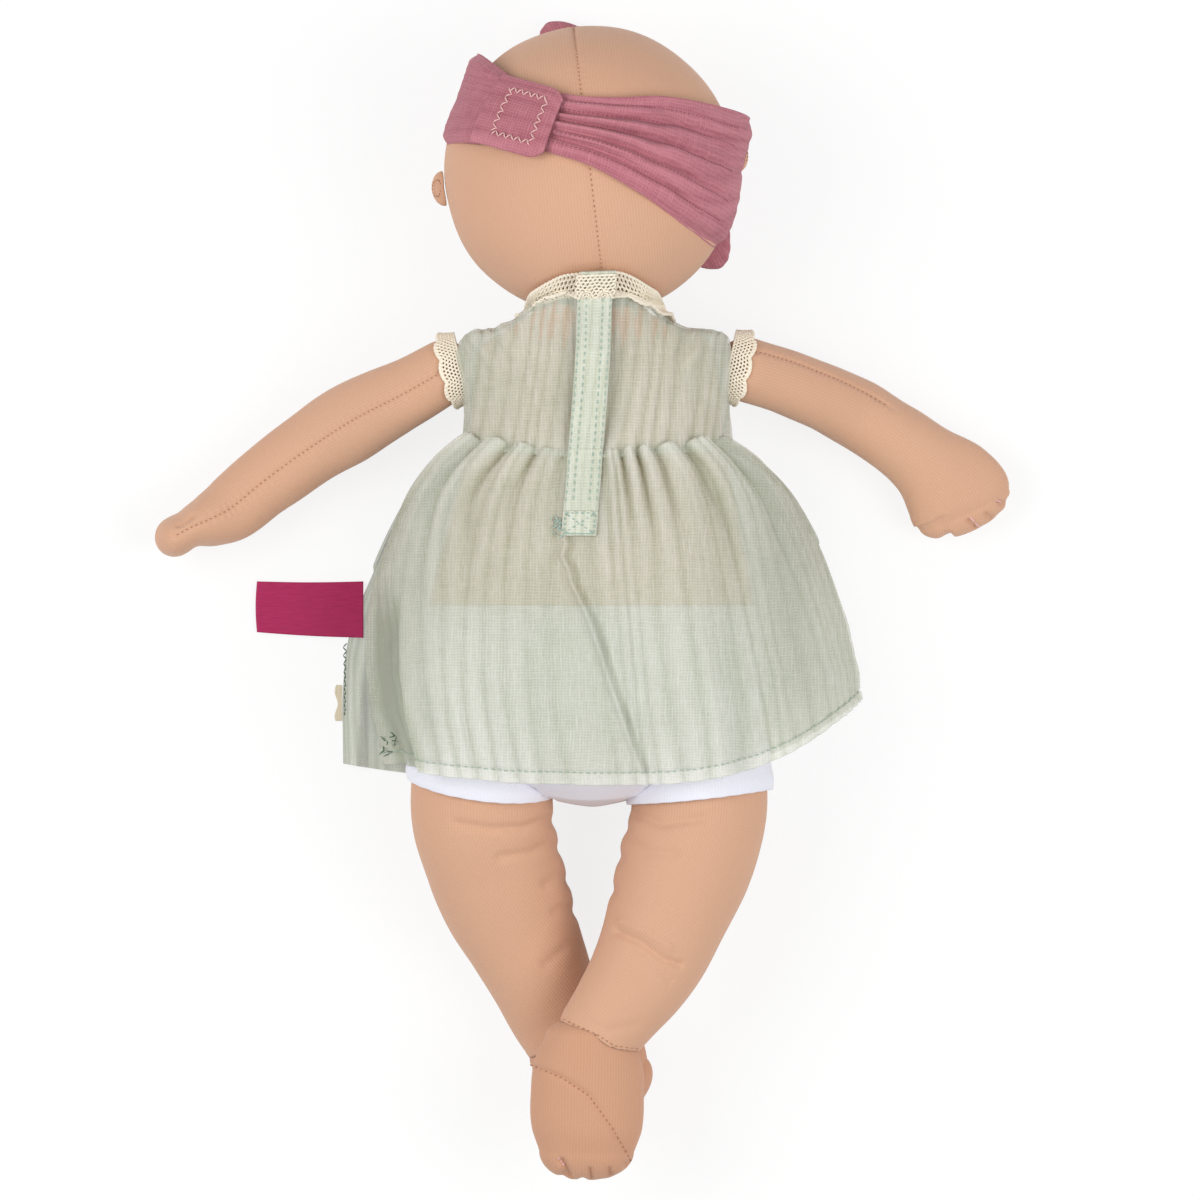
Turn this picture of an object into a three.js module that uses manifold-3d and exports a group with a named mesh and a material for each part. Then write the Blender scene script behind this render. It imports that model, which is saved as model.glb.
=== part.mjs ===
// Soft baby doll, lying face down with its ankles crossed. Millimetres.
// +X is the doll's right side, +Y points to its head and +Z out of its back; the floor is z = 0.
import * as THREE from 'three';
import Module from 'manifold-3d';

const wasm = await Module();
wasm.setup();

// Clearances and cloth
const gap = 0.35;
const jointGap = 0.4;
const finest = 0.02;
const gauze = 1.4;
const jersey = 1.3;
const tape = 0.8;
const laceThick = 1.1;
const ease = 2;

// Head
const headRadius = 52.6;
const headDepth = 50;
const headCentre = new THREE.Vector3(1.8, 153.7, 56);
const headLean = 6.6;
const earRadius = 6.4;
const earThick = 4.4;
const earOut = 4.6;
const noseRadius = 4.2;
const noseOut = 1.6;
const faceThread = 0.9;
const eyeWidth = 9.5;
const eyeApart = 33;
const eyeDrop = 5;
const mouthWidth = 13;
const mouthDrop = 22;
const threadWidth = 1.8;

// Neck
const neckRadius = 19.5;
const neckPivot = new THREE.Vector3(4, 92, 49);
const neckTilt = 8;

// Torso
const torsoTop = 99;
const torsoLength = 167;
const hipHalfWidth = 62;
const torsoMiddle = 41;
const torsoHalfBack = 42;
const torsoHalfFront = 41;
const torsoLeanAcross = 2.6;
const torsoCentre = 1.8;
const shoulderLift = 6;

// Arms
const armThick = 28.6;
const shoulderHeight = 42;
const armRest = 14.2;
const leftShoulder = new THREE.Vector3(-51, 82, shoulderHeight);
const leftArmLength = 115;
const leftArmHeading = 210.9;
const rightShoulder = new THREE.Vector3(58.5, 83, shoulderHeight);
const rightArmLength = 95;
const rightArmHeading = -35.5;
const armDown = { left: 8, right: 16 };
const armUp = { left: 55, right: 45 };
const handRest = 18;

// Legs and feet
const thighThick = 51;
const hipHeight = 43;
const leftHip = new THREE.Vector3(-37, -56, hipHeight);
const leftLegLength = 104;
const leftLegHeading = -73.1;
const leftAnkleHeight = 16.8;
const rightHip = new THREE.Vector3(40.5, -56, hipHeight);
const rightLegLength = 104;
const rightLegHeading = -108.2;
const rightAnkleHeight = 50.4;
const legSpread = { left: 20, right: 35 };
const footWidth = 40.6;
const footLength = 41.5;
const leftFootBent = 0.62;
const heelPast = 2;
const footDrop = 2;
const footThick = 30;
const leftFootHeading = -48;
const rightFootHeading = -91;
const rightHeelAside = 5;
const footTwist = 20;

// Brief
const briefTop = -2;
const waistbandHeight = 7;
const cuffStart = { left: 1, right: 6 };
const cuffHeight = 10;

// Dress
const waist = 55;
const neckline = 98.2;
const nape = new THREE.Vector3(0, 10, 18);
const napeRise = 11;
const waistDip = 2.4;
const skirtHem = -65.6;
const hemLift = { left: 6.6, right: 29.6 };
const skirtCrown = 10.4;
const hemCrown = 80;
const foldDeep = 2.2;
const foldCount = 8;
const placketWidth = 12.6;
const placketTop = 119;
const placketEnd = 23;
const placketBox = 9;
const placketTopAside = 5.4;
const placketEndAside = -2.2;
const closureTape = 8;
const tapeLength = 24;
const armholeLace = 8;
const armholeFlare = 2.2;
const armholeInset = 4.6;
const armholeHeading = { left: 194, right: -13 };
const armholeDrop = 2.4;
const collarLace = 8;
const collarOverlap = 2.6;
const collarClear = 1;
const collarGap = 1.2;
const neckSlope = 0.016;
const scallopDeep = 1;
const collarSides = 36;
const armholeScallops = 12;
const tagWidth = 20.4;
const tagLength = 38.5;
const tagThick = 1.2;
const tagTop = 6.6;
const patchHeight = 13;
const patchOut = 2.8;
const patchTop = -30.6;

// Headband and bow
const bandLean = -16.6;
const bandGap = 0.5;
const closureStart = 137;
const closureEnd = 108;
const underEnd = 131;
const tabGap = 4.6;
const closurePatch = 14;
const patchFrom = 129.5;
const patchReach = [5, 19];
const tabStart = 135.6;
const tabReach = [1, 23.4];
const knotPlace = new THREE.Vector3(16.6, 168, 3.9);
const knotSize = new THREE.Vector3(8.5, 6.5, 3.3);
const bowStart = 8.2;
const bowRound = 12;
const bowLoops = [
  { name: 'bow_loop_upper', heading: 127.4, reach: 51 },
  { name: 'bow_loop_lower', heading: -55.2, reach: 58 },
];
const loopWidth = 22;
const loopNeck = 9;
const loopHigh = 11;
const loopFloor = 0.3;

const rad = THREE.MathUtils.degToRad;
const up = new THREE.Vector3(0, 0, 1);
const forward = new THREE.Vector3(0, 1, 0);
const right = new THREE.Vector3(1, 0, 0);

const paint = {
  skin: new THREE.MeshStandardMaterial({ color: '#e0b294', roughness: 0.85, metalness: 0 }),
  thread: new THREE.MeshStandardMaterial({ color: '#7c5440', roughness: 0.7, metalness: 0 }),
  mouth: new THREE.MeshStandardMaterial({ color: '#c9747a', roughness: 0.7, metalness: 0 }),
  rose: new THREE.MeshStandardMaterial({ color: '#b8707c', roughness: 0.9, metalness: 0 }),
  sage: new THREE.MeshStandardMaterial({ color: '#c8cfb7', roughness: 0.9, metalness: 0 }),
  cream: new THREE.MeshStandardMaterial({ color: '#e8dcc3', roughness: 0.9, metalness: 0 }),
  white: new THREE.MeshStandardMaterial({ color: '#e8e8f2', roughness: 0.85, metalness: 0 }),
  ribbon: new THREE.MeshStandardMaterial({ color: '#a9265c', roughness: 0.45, metalness: 0 }),
  tape: new THREE.MeshStandardMaterial({ color: '#d9dccd', roughness: 0.95, metalness: 0 }),
};

const doll = new THREE.Group();

function add(name, shape, material) {
  const mesh = new THREE.Mesh(shape.getMesh ? geometryOf(shape) : shape, material);
  mesh.name = name;
  doll.add(mesh);
}

// Closed geometry and exact solids

function solidOf(geometry) {
  const places = Float32Array.from(geometry.getAttribute('position').array);
  const corners = Uint32Array.from(geometry.getIndex().array);
  return new wasm.Manifold(new wasm.Mesh({ numProp: 3, vertProperties: places, triVerts: corners }));
}

// The broadest faces come first, so that a shell sewn from them takes its direction from a sound face.
function geometryOf(solid) {
  const mesh = solid.getMesh();
  const at = (i) => new THREE.Vector3().fromArray(mesh.vertProperties, 3 * i);
  const faces = [];
  for (let k = 0; k < mesh.triVerts.length; k += 3) {
    const corners = Array.from(mesh.triVerts.slice(k, k + 3));
    faces.push({ corners, area: new THREE.Triangle(...corners.map(at)).getArea() });
  }
  faces.sort((one, other) => other.area - one.area);
  const geometry = new THREE.BufferGeometry();
  geometry.setAttribute('position', new THREE.Float32BufferAttribute(mesh.vertProperties, 3));
  geometry.setIndex(faces.flatMap((face) => face.corners));
  return geometry;
}

// Faces are turned so that the body they close has a positive volume.
function closed(points, faces) {
  let volume = 0;
  for (const [a, b, c] of faces) {
    volume += points[a].dot(new THREE.Vector3().crossVectors(points[b], points[c]));
  }
  const outward = volume > 0 ? faces : faces.map(([a, b, c]) => [a, c, b]);
  const geometry = new THREE.BufferGeometry();
  const places = points.flatMap((p) => [p.x, p.y, p.z]);
  geometry.setAttribute('position', new THREE.Float32BufferAttribute(places, 3));
  geometry.setIndex(outward.flat());
  return geometry;
}

// A skin over rings of points, closed by one point at each end.
function loft(first, rings, last) {
  const count = rings[0].length;
  const points = [first, ...rings.flat(), last];
  const faces = [];
  for (let k = 0; k < count; k += 1) {
    const next = (k + 1) % count;
    faces.push([0, 1 + next, 1 + k]);
    for (let r = 0; r + 1 < rings.length; r += 1) {
      const here = 1 + r * count;
      faces.push([here + k, here + next, here + count + k]);
      faces.push([here + next, here + count + next, here + count + k]);
    }
    const end = 1 + (rings.length - 1) * count;
    faces.push([end + k, end + next, points.length - 1]);
  }
  return closed(points, faces);
}

// The normal of place(s, t), towards s crossed with t.
function normalAt(place, s, t, round) {
  const step = 1e-3;
  const sideT = t > 0.5 ? -1 : 1;
  const sideS = round || s < 0.5 ? 1 : -1;
  const p = place(s, t);
  const alongT = place(s, t + sideT * step).sub(p).multiplyScalar(sideT);
  const alongS = place(s + sideS * step, t).sub(p).multiplyScalar(sideS);
  return new THREE.Vector3().crossVectors(alongS, alongT).normalize();
}

// A cloth of two skins: place(s, t) gives one, and the other lies thick away, towards s crossed with t.
function cloth(place, thick, across, along, round = false) {
  const points = [];
  for (let side = 0; side < 2; side += 1) {
    for (let j = 0; j <= along; j += 1) {
      for (let i = 0; i < across + (round ? 0 : 1); i += 1) {
        const s = i / across;
        const t = j / along;
        const p = place(s, t);
        if (side) {
          p.addScaledVector(normalAt(place, s, t, round), thick);
        }
        p.z = Math.max(p.z, 0);
        points.push(p);
      }
    }
  }
  const columns = across + (round ? 0 : 1);
  const layer = columns * (along + 1);
  const at = (i, j, side) => side * layer + j * columns + (i % columns);
  const faces = [];
  for (let j = 0; j < along; j += 1) {
    for (let i = 0; i < across; i += 1) {
      const [i2, j2] = [i + 1, j + 1];
      faces.push([at(i, j, 0), at(i2, j, 0), at(i2, j2, 0)], [at(i, j, 0), at(i2, j2, 0), at(i, j2, 0)]);
      faces.push([at(i, j, 1), at(i2, j2, 1), at(i2, j, 1)], [at(i, j, 1), at(i, j2, 1), at(i2, j2, 1)]);
    }
  }
  for (let i = 0; i < across; i += 1) {
    faces.push([at(i, 0, 0), at(i + 1, 0, 1), at(i + 1, 0, 0)], [at(i, 0, 0), at(i, 0, 1), at(i + 1, 0, 1)]);
    const j = along;
    faces.push([at(i, j, 0), at(i + 1, j, 0), at(i + 1, j, 1)], [at(i, j, 0), at(i + 1, j, 1), at(i, j, 1)]);
  }
  for (let j = 0; j < along && !round; j += 1) {
    faces.push([at(0, j, 0), at(0, j + 1, 0), at(0, j + 1, 1)], [at(0, j, 0), at(0, j + 1, 1), at(0, j, 1)]);
    const i = across;
    faces.push([at(i, j, 0), at(i, j + 1, 1), at(i, j + 1, 0)], [at(i, j, 0), at(i, j, 1), at(i, j + 1, 1)]);
  }
  return closed(points, faces);
}

// The row of a table at a key, on a smooth curve through the rows; the first number of a row is its key.
function rowAt(rows, key) {
  let i = 0;
  while (i < rows.length - 2 && key > rows[i + 1][0]) i += 1;
  const [low, high] = [rows[i], rows[i + 1]];
  const before = rows[Math.max(i - 1, 0)];
  const after = rows[Math.min(i + 2, rows.length - 1)];
  const span = high[0] - low[0];
  const t = THREE.MathUtils.clamp((key - low[0]) / span, 0, 1);
  return low.slice(1).map((from, k) => {
    const to = high[k + 1];
    const slopeLow = ((to - before[k + 1]) / (high[0] - before[0])) * span;
    const slopeHigh = ((after[k + 1] - from) / (after[0] - low[0])) * span;
    const t2 = t * t;
    const t3 = t2 * t;
    return (2 * t3 - 3 * t2 + 1) * from + (t3 - 2 * t2 + t) * slopeLow
      + (3 * t2 - 2 * t3) * to + (t3 - t2) * slopeHigh;
  });
}

// A stuffed limb along a heading in plan. Rows: share along, share of the length to the left,
// share of the way from the first height to the last, and shares of the width and the thickness.
function limbMiddle(sizes, u) {
  const { start, heading, length, endHeight, shares } = sizes;
  const ahead = new THREE.Vector3(Math.cos(rad(heading)), Math.sin(rad(heading)), 0);
  const left = new THREE.Vector3(-ahead.y, ahead.x, 0);
  const [aside, drop] = rowAt(shares, u);
  const p = start.clone().addScaledVector(ahead, u * length).addScaledVector(left, aside * length);
  p.z += (endHeight - start.z) * drop;
  return p;
}

// A point of a limb's skin, grown outwards; push and scale draw a section on into the limb's round ends.
function onLimb(sizes, u, angle, grow = 0, scale = 1, push = 0) {
  const [, , widthShare, thickShare] = rowAt(sizes.shares, u);
  const step = 0.01;
  const from = limbMiddle(sizes, Math.max(u - step, 0));
  const tangent = limbMiddle(sizes, Math.min(u + step, 1)).sub(from).normalize();
  const across = new THREE.Vector3().crossVectors(up, tangent).normalize();
  const rise = new THREE.Vector3().crossVectors(tangent, across);
  const halfWide = ((sizes.wide * widthShare) / 2 + grow) * scale;
  const halfThick = ((sizes.thick * thickShare) / 2 + grow) * scale;
  const p = limbMiddle(sizes, u).addScaledVector(tangent, push);
  p.addScaledVector(across, Math.cos(angle) * halfWide).addScaledVector(rise, Math.sin(angle) * halfThick);
  p.z = Math.max(p.z, -grow);
  return p;
}

function limb(sizes, grow = 0) {
  const section = (u, scale, push) => Array.from({ length: sizes.sides }, (_, k) => (
    onLimb(sizes, u, (k / sizes.sides) * Math.PI * 2, grow, scale, push)
  ));
  const dome = (u, way) => {
    const [, , widthShare, thickShare] = rowAt(sizes.shares, u);
    const depth = (Math.min(sizes.wide * widthShare, sizes.thick * thickShare) / 2 + grow) * way;
    const rings = [];
    for (let k = 1; k < sizes.domeRings; k += 1) {
      const angle = (k / sizes.domeRings) * (Math.PI / 2);
      rings.push(section(u, Math.cos(angle), depth * Math.sin(angle)));
    }
    return { tip: onLimb(sizes, u, 0, grow, 0, depth), rings };
  };
  const first = dome(0, -1);
  const last = dome(1, 1);
  const body = Array.from({ length: sizes.rings + 1 }, (_, k) => section(k / sizes.rings, 1, 0));
  return loft(first.tip, [...first.rings.reverse(), ...body, ...last.rings], last.tip);
}

// The room that a round root needs to swing in plan from one heading to another about its pivot.
function swing(pivot, radius, reach, from, to, deeper = 0) {
  const levels = 8;
  const backs = 6;
  const fronts = 4;
  const wide = radius / Math.cos(Math.PI / (2 * backs));
  const ring = (latitude) => {
    const half = wide * Math.cos(latitude);
    const height = (wide + (latitude < 0 ? deeper : 0)) * Math.sin(latitude);
    const points = [];
    for (let k = 0; k <= backs; k += 1) {
      const angle = rad(to + 90 + ((from - to + 180) * k) / backs);
      points.push(new THREE.Vector3(half * Math.cos(angle), half * Math.sin(angle), height).add(pivot));
    }
    for (let k = 0; k <= fronts; k += 1) {
      const share = k / fronts;
      const angle = rad(from + (to - from) * share);
      const aside = half * (2 * share - 1);
      points.push(new THREE.Vector3(
        reach * Math.cos(angle) - aside * Math.sin(angle),
        reach * Math.sin(angle) + aside * Math.cos(angle),
        height,
      ).add(pivot));
    }
    return points;
  };
  const rings = [];
  for (let k = 1; k < levels; k += 1) {
    rings.push(ring(Math.PI * (k / levels - 0.5)));
  }
  const middle = rad((from + to) / 2);
  const tip = (height) => new THREE.Vector3(
    (reach / 2) * Math.cos(middle),
    (reach / 2) * Math.sin(middle),
    height,
  ).add(pivot);
  return solidOf(loft(tip(-wide - deeper), rings, tip(wide)));
}

// Torso: share of its length below the top, then shares of the half width, of the half depths
// behind and in front, and of the sideways lean and the lift of its middle.
const torsoShares = [
  [0, 0.02, 0.03, 0.03, 1, 1],
  [0.004, 0.36, 0.42, 0.42, 1, 1],
  [0.014, 0.53, 0.55, 0.55, 1, 1],
  [0.03, 0.635, 0.63, 0.62, 1, 1],
  [0.06, 0.7, 0.69, 0.69, 1, 1],
  [0.12, 0.725, 0.74, 0.76, 1, 0.9],
  [0.2, 0.73, 0.76, 0.84, 0.95, 0.6],
  [0.28, 0.755, 0.79, 0.93, 0.85, 0.2],
  [0.42, 0.84, 0.87, 1, 0.6, 0],
  [0.6, 0.95, 0.98, 1, 0.2, 0],
  [0.78, 1, 1, 0.98, 0, 0],
  [0.88, 0.95, 0.95, 0.86, 0, 0],
  [0.95, 0.76, 0.78, 0.66, 0, 0],
  [0.985, 0.46, 0.5, 0.42, 0, 0],
  [1, 0.02, 0.03, 0.03, 0, 0],
];
const torsoFloor = gauze + gap + jersey + gap;

// A point of the torso's skin: angle 0 is the right side, a quarter turn the back.
function torsoPoint(angle, y) {
  const share = THREE.MathUtils.clamp((torsoTop - y) / torsoLength, 0, 1);
  const [width, back, front, leanShare, lift] = rowAt(torsoShares, share);
  const sine = Math.sin(angle);
  const depth = sine > 0 ? torsoHalfBack * back : torsoHalfFront * front;
  const x = torsoCentre + torsoLeanAcross * leanShare + hipHalfWidth * width * Math.cos(angle);
  const z = torsoMiddle + shoulderLift * lift + depth * sine;
  return new THREE.Vector3(x, y, Math.max(z, torsoFloor));
}

// The same, moved out along the skin's normal.
function overTorso(angle, y, out) {
  const step = 0.02;
  const around = torsoPoint(angle + step, y).sub(torsoPoint(angle - step, y));
  const along = torsoPoint(angle, y + step).sub(torsoPoint(angle, y - step));
  const normal = new THREE.Vector3().crossVectors(along, around).normalize();
  const moved = torsoPoint(angle, y).addScaledVector(normal, out);
  moved.z = Math.max(moved.z, torsoFloor - out);
  return moved;
}

const torsoSides = 22;
function torsoForm(grow) {
  const rings = torsoShares.slice(1, -1).map(([share]) => {
    const y = torsoTop - share * torsoLength;
    return Array.from({ length: torsoSides }, (_, k) => {
      const angle = (k / torsoSides) * Math.PI * 2;
      return grow ? overTorso(angle, y, grow) : torsoPoint(angle, y);
    });
  });
  const first = torsoPoint(0, torsoTop);
  const last = torsoPoint(0, torsoTop - torsoLength);
  first.y += grow;
  last.y -= grow;
  return loft(first, rings, last);
}

// Head: a ball turned a little to the doll's left, flatter from front to back.
const headTurn = new THREE.Matrix4().makeRotationZ(rad(headLean));
const headUp = forward.clone().transformDirection(headTurn);
const headRight = right.clone().transformDirection(headTurn);

function headPoint(aside, height, sign = 1) {
  const rest = Math.max(1 - (aside * aside + height * height) / (headRadius * headRadius), 0);
  return headCentre.clone().addScaledVector(headRight, aside).addScaledVector(headUp, height)
    .addScaledVector(up, sign * headDepth * Math.sqrt(rest));
}

function ball(grow = 0, around = 30, rings = 18) {
  const geometry = new THREE.SphereGeometry(1, around, rings);
  geometry.deleteAttribute('normal');
  geometry.deleteAttribute('uv');
  const rows = [];
  for (let r = 1; r < rings; r += 1) {
    const latitude = (r / rings) * Math.PI;
    rows.push(Array.from({ length: around }, (_, k) => {
      const angle = (k / around) * Math.PI * 2;
      const flat = (headRadius + grow) * Math.sin(latitude);
      return headCentre.clone().addScaledVector(headRight, flat * Math.cos(angle))
        .addScaledVector(up, (headDepth + grow) * Math.sin(latitude) * Math.sin(angle))
        .addScaledVector(headUp, (headRadius + grow) * Math.cos(latitude));
    }));
  }
  const top = headCentre.clone().addScaledVector(headUp, headRadius + grow);
  const bottom = headCentre.clone().addScaledVector(headUp, -headRadius - grow);
  return loft(top, rows, bottom);
}

const headRoom = solidOf(ball(gap));

// A point that would lie in the head is moved out of it.
function clearOfHead(p, margin) {
  const from = p.clone().sub(headCentre);
  const share = Math.hypot(from.x / (headRadius + margin), from.y / (headRadius + margin),
    from.z / (headDepth + margin));
  return share < 1 ? headCentre.clone().addScaledVector(from, 1 / share) : p;
}

// An egg in the head's frame: middle, half sizes across, up and out, and how it is turned.
function egg(middle, half, around, rings, across = headRight, rise = headUp, out = up) {
  const rows = [];
  const place = (a, b, c) => middle.clone().addScaledVector(across, half[0] * a)
    .addScaledVector(rise, half[1] * b).addScaledVector(out, half[2] * c);
  for (let r = 1; r < rings; r += 1) {
    const latitude = (r / rings) * Math.PI;
    rows.push(Array.from({ length: around }, (_, k) => {
      const angle = (k / around) * Math.PI * 2;
      const flat = Math.sin(latitude);
      return place(flat * Math.cos(angle), Math.cos(latitude), flat * Math.sin(angle));
    }));
  }
  return loft(place(0, 1, 0), rows, place(0, -1, 0));
}

// A short row of thread on the face: an arc drawn across the front of the head.
function faceArc(middleAside, drop, width, sag) {
  const place = (s, t) => {
    const along = (s - 0.5) * 2;
    const aside = middleAside + (along * width) / 2;
    const height = -drop + sag * (along * along - 1) + (t - 0.5) * threadWidth;
    const p = headPoint(aside, height, -1);
    const out = p.clone().sub(headCentre).normalize();
    return p.addScaledVector(out, gap);
  };
  return cloth(place, -faceThread, 8, 2);
}

const leftArm = {
  start: leftShoulder, heading: leftArmHeading, length: leftArmLength, endHeight: handRest,
  wide: armThick, thick: armThick, rings: 15, sides: 14, domeRings: 3,
  shares: [
    [0, 0, 0, 0.82, 0.82],
    [0.12, -0.004, 0.28, 0.88, 0.88],
    [0.32, -0.016, 0.86, 1, 1],
    [0.5, -0.012, 1.12, 0.95, 0.95],
    [0.68, 0.004, 1.12, 0.84, 0.88],
    [0.8, 0.026, 1.08, 0.77, 0.92],
    [0.88, 0.022, 1.02, 0.74, 1.14],
    [0.94, 0.01, 1, 0.52, 1.24],
    [1, 0.012, 1, 0.4, 1.06],
  ],
};
const rightArm = {
  start: rightShoulder, heading: rightArmHeading, length: rightArmLength, endHeight: armRest,
  wide: armThick, thick: armThick, rings: 15, sides: 14, domeRings: 3,
  shares: [
    [0, 0, 0, 0.82, 0.82],
    [0.16, 0.05, 0.36, 0.84, 0.84],
    [0.42, 0.105, 0.9, 0.9, 0.95],
    [0.62, 0.118, 1, 0.9, 0.92],
    [0.76, 0.108, 1.02, 0.94, 0.86],
    [0.88, 0.086, 1.06, 1.24, 0.8],
    [0.96, 0.05, 1.1, 1.3, 0.72],
    [1, 0.024, 1.14, 1.2, 0.6],
  ],
};
const leftLeg = {
  start: leftHip, heading: leftLegHeading, length: leftLegLength, endHeight: leftAnkleHeight,
  wide: thighThick, thick: thighThick, rings: 13, sides: 16, domeRings: 4,
  shares: [
    [0, 0, 0, 0.98, 0.98],
    [0.2, -0.06, 0.2, 1.01, 0.98],
    [0.36, -0.068, 0.44, 0.98, 0.94],
    [0.52, -0.062, 0.66, 0.92, 0.88],
    [0.66, -0.048, 0.82, 0.82, 0.8],
    [0.8, -0.03, 0.93, 0.74, 0.72],
    [0.92, -0.02, 0.99, 0.66, 0.65],
    [1, -0.008, 1, 0.62, 0.62],
  ],
};
const rightLeg = {
  start: rightHip, heading: rightLegHeading, length: rightLegLength, endHeight: rightAnkleHeight,
  wide: thighThick, thick: thighThick, rings: 13, sides: 16, domeRings: 4,
  shares: [
    [0, 0, 0, 0.96, 0.96],
    [0.2, 0.07, 0.02, 0.96, 0.96],
    [0.36, 0.074, 0.14, 0.96, 0.94],
    [0.52, 0.074, 0.36, 0.88, 0.86],
    [0.66, 0.066, 0.6, 0.8, 0.78],
    [0.8, 0.042, 0.84, 0.72, 0.7],
    [0.92, 0.008, 0.97, 0.65, 0.63],
    [1, -0.018, 1, 0.61, 0.6],
  ],
};

// Where a foot starts: past the end of the leg's middle line, and a little to the left.
function heelOf(sizes, onward, aside) {
  const p = limbMiddle(sizes, 1);
  p.x -= aside;
  p.y -= onward;
  return p;
}

const footShares = [
  [0, 0, 0, 0.76, 0.98],
  [0.2, 0, 0.2, 0.94, 1],
  [0.5, 0, 0.5, 1, 0.98],
  [0.8, 0, 0.8, 0.98, 0.9],
  [1, 0, 1, 0.84, 0.74],
];
const leftFoot = {
  start: heelOf(leftLeg, heelPast, 0), heading: leftFootHeading,
  length: footLength * leftFootBent, endHeight: leftAnkleHeight - footDrop,
  wide: footWidth, thick: footThick, rings: 7, sides: 16, domeRings: 4, shares: footShares,
};
const rightFoot = {
  start: heelOf(rightLeg, heelPast, rightHeelAside), heading: rightFootHeading,
  length: footLength, endHeight: rightAnkleHeight - footDrop,
  wide: footWidth, thick: footThick, rings: 7, sides: 16, domeRings: 4, shares: footShares,
};

const armRootRadius = (armThick * leftArm.shares[0][3]) / 2;
const thighRadius = thighThick / 2;
const footRootRadius = (footWidth * footShares[0][3]) / 2;
const armRoom = (grow) => [
  swing(leftShoulder, armRootRadius + grow, armThick, leftArmHeading - armUp.left,
    leftArmHeading + armDown.left, armRootRadius / 2),
  swing(rightShoulder, armRootRadius + grow, armThick, rightArmHeading - armDown.right,
    rightArmHeading + armUp.right, armRootRadius / 2),
];
const legRoom = (grow) => [
  swing(leftHip, thighRadius + grow, thighThick, leftLegHeading - legSpread.left, leftLegHeading,
    thighRadius / 4),
  swing(rightHip, thighRadius + grow, thighThick, rightLegHeading, rightLegHeading + legSpread.right),
];

// Neck: a short stuffed stem whose round lower end turns in the torso.
function neckForm(grow) {
  const rings = [];
  const around = 16;
  const upTo = headCentre.clone().sub(neckPivot);
  const ahead = upTo.clone().normalize();
  const across = new THREE.Vector3().crossVectors(ahead, up).normalize();
  const rise = new THREE.Vector3().crossVectors(across, ahead);
  const ring = (along, radius) => Array.from({ length: around }, (_, k) => {
    const angle = (k / around) * Math.PI * 2;
    return neckPivot.clone().addScaledVector(ahead, along)
      .addScaledVector(across, radius * Math.cos(angle)).addScaledVector(rise, radius * Math.sin(angle));
  });
  const radius = neckRadius + grow;
  for (const angle of [60, 35, 12]) {
    rings.push(ring(-radius * Math.sin(rad(angle)), radius * Math.cos(rad(angle))));
  }
  rings.push(ring(neckRadius / 3, radius));
  rings.push(ring(neckRadius, radius));
  const low = neckPivot.clone().addScaledVector(ahead, -radius);
  const high = neckPivot.clone().addScaledVector(ahead, neckRadius);
  return solidOf(loft(low, rings, high));
}

// A solid turned in plan about a place.
function turned(solid, pivot, turn) {
  return solid.translate(pivot.clone().negate().toArray()).rotate([0, 0, turn]).translate(pivot.toArray());
}

const neckHeading = 90;
const neckRoom = swing(neckPivot, neckRadius + jointGap, neckRadius, neckHeading - neckTilt,
  neckHeading + neckTilt);
const footRoom = (sizes) => [
  swing(sizes.start, footRootRadius + jointGap, footRootRadius * 1.2,
    sizes.heading - footTwist, sizes.heading + footTwist),
  ...[-footTwist, 0, footTwist].map((turn) => turned(solidOf(limb(sizes, jointGap)), sizes.start, turn)),
];
// A solid whose edges too fine to matter are drawn together into one point each.
function tidied(solid) {
  const { vertProperties: places, triVerts } = solid.asOriginal().simplify(finest).getMesh();
  const at = (i) => new THREE.Vector3().fromArray(places, 3 * i);
  const same = Array.from({ length: places.length / 3 }, (_, i) => i);
  const root = (i) => (same[i] === i ? i : root(same[i]));
  const corners = [];
  for (let k = 0; k < triVerts.length; k += 3) corners.push(Array.from(triVerts.slice(k, k + 3)));
  for (const [a, b, c] of corners) {
    for (const [from, to] of [[a, b], [b, c], [c, a]]) {
      if (at(from).distanceTo(at(to)) < finest) same[root(from)] = root(to);
    }
  }
  const kept = corners.map((face) => face.map(root)).filter((face) => new Set(face).size === face.length);
  const faces = Uint32Array.from(kept.flat());
  return new wasm.Manifold(new wasm.Mesh({ numProp: 3, vertProperties: places, triVerts: faces }));
}

// What is left of a solid outside some rooms, without loose crumbs.
function without(solid, rooms) {
  const rest = tidied(rooms.reduce((left, room) => left.subtract(room), solid));
  return rest.decompose().reduce((most, piece) => (piece.volume() > most.volume() ? piece : most));
}

const cuffRoom = jersey + gap + jointGap;
const sockets = [neckRoom, ...armRoom(jointGap), ...legRoom(cuffRoom)];
add('torso', without(solidOf(torsoForm(0)), sockets), paint.skin);
add('neck', neckForm(0).subtract(solidOf(ball(gap + jointGap))), paint.skin);
add('head', ball(), paint.skin);

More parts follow.
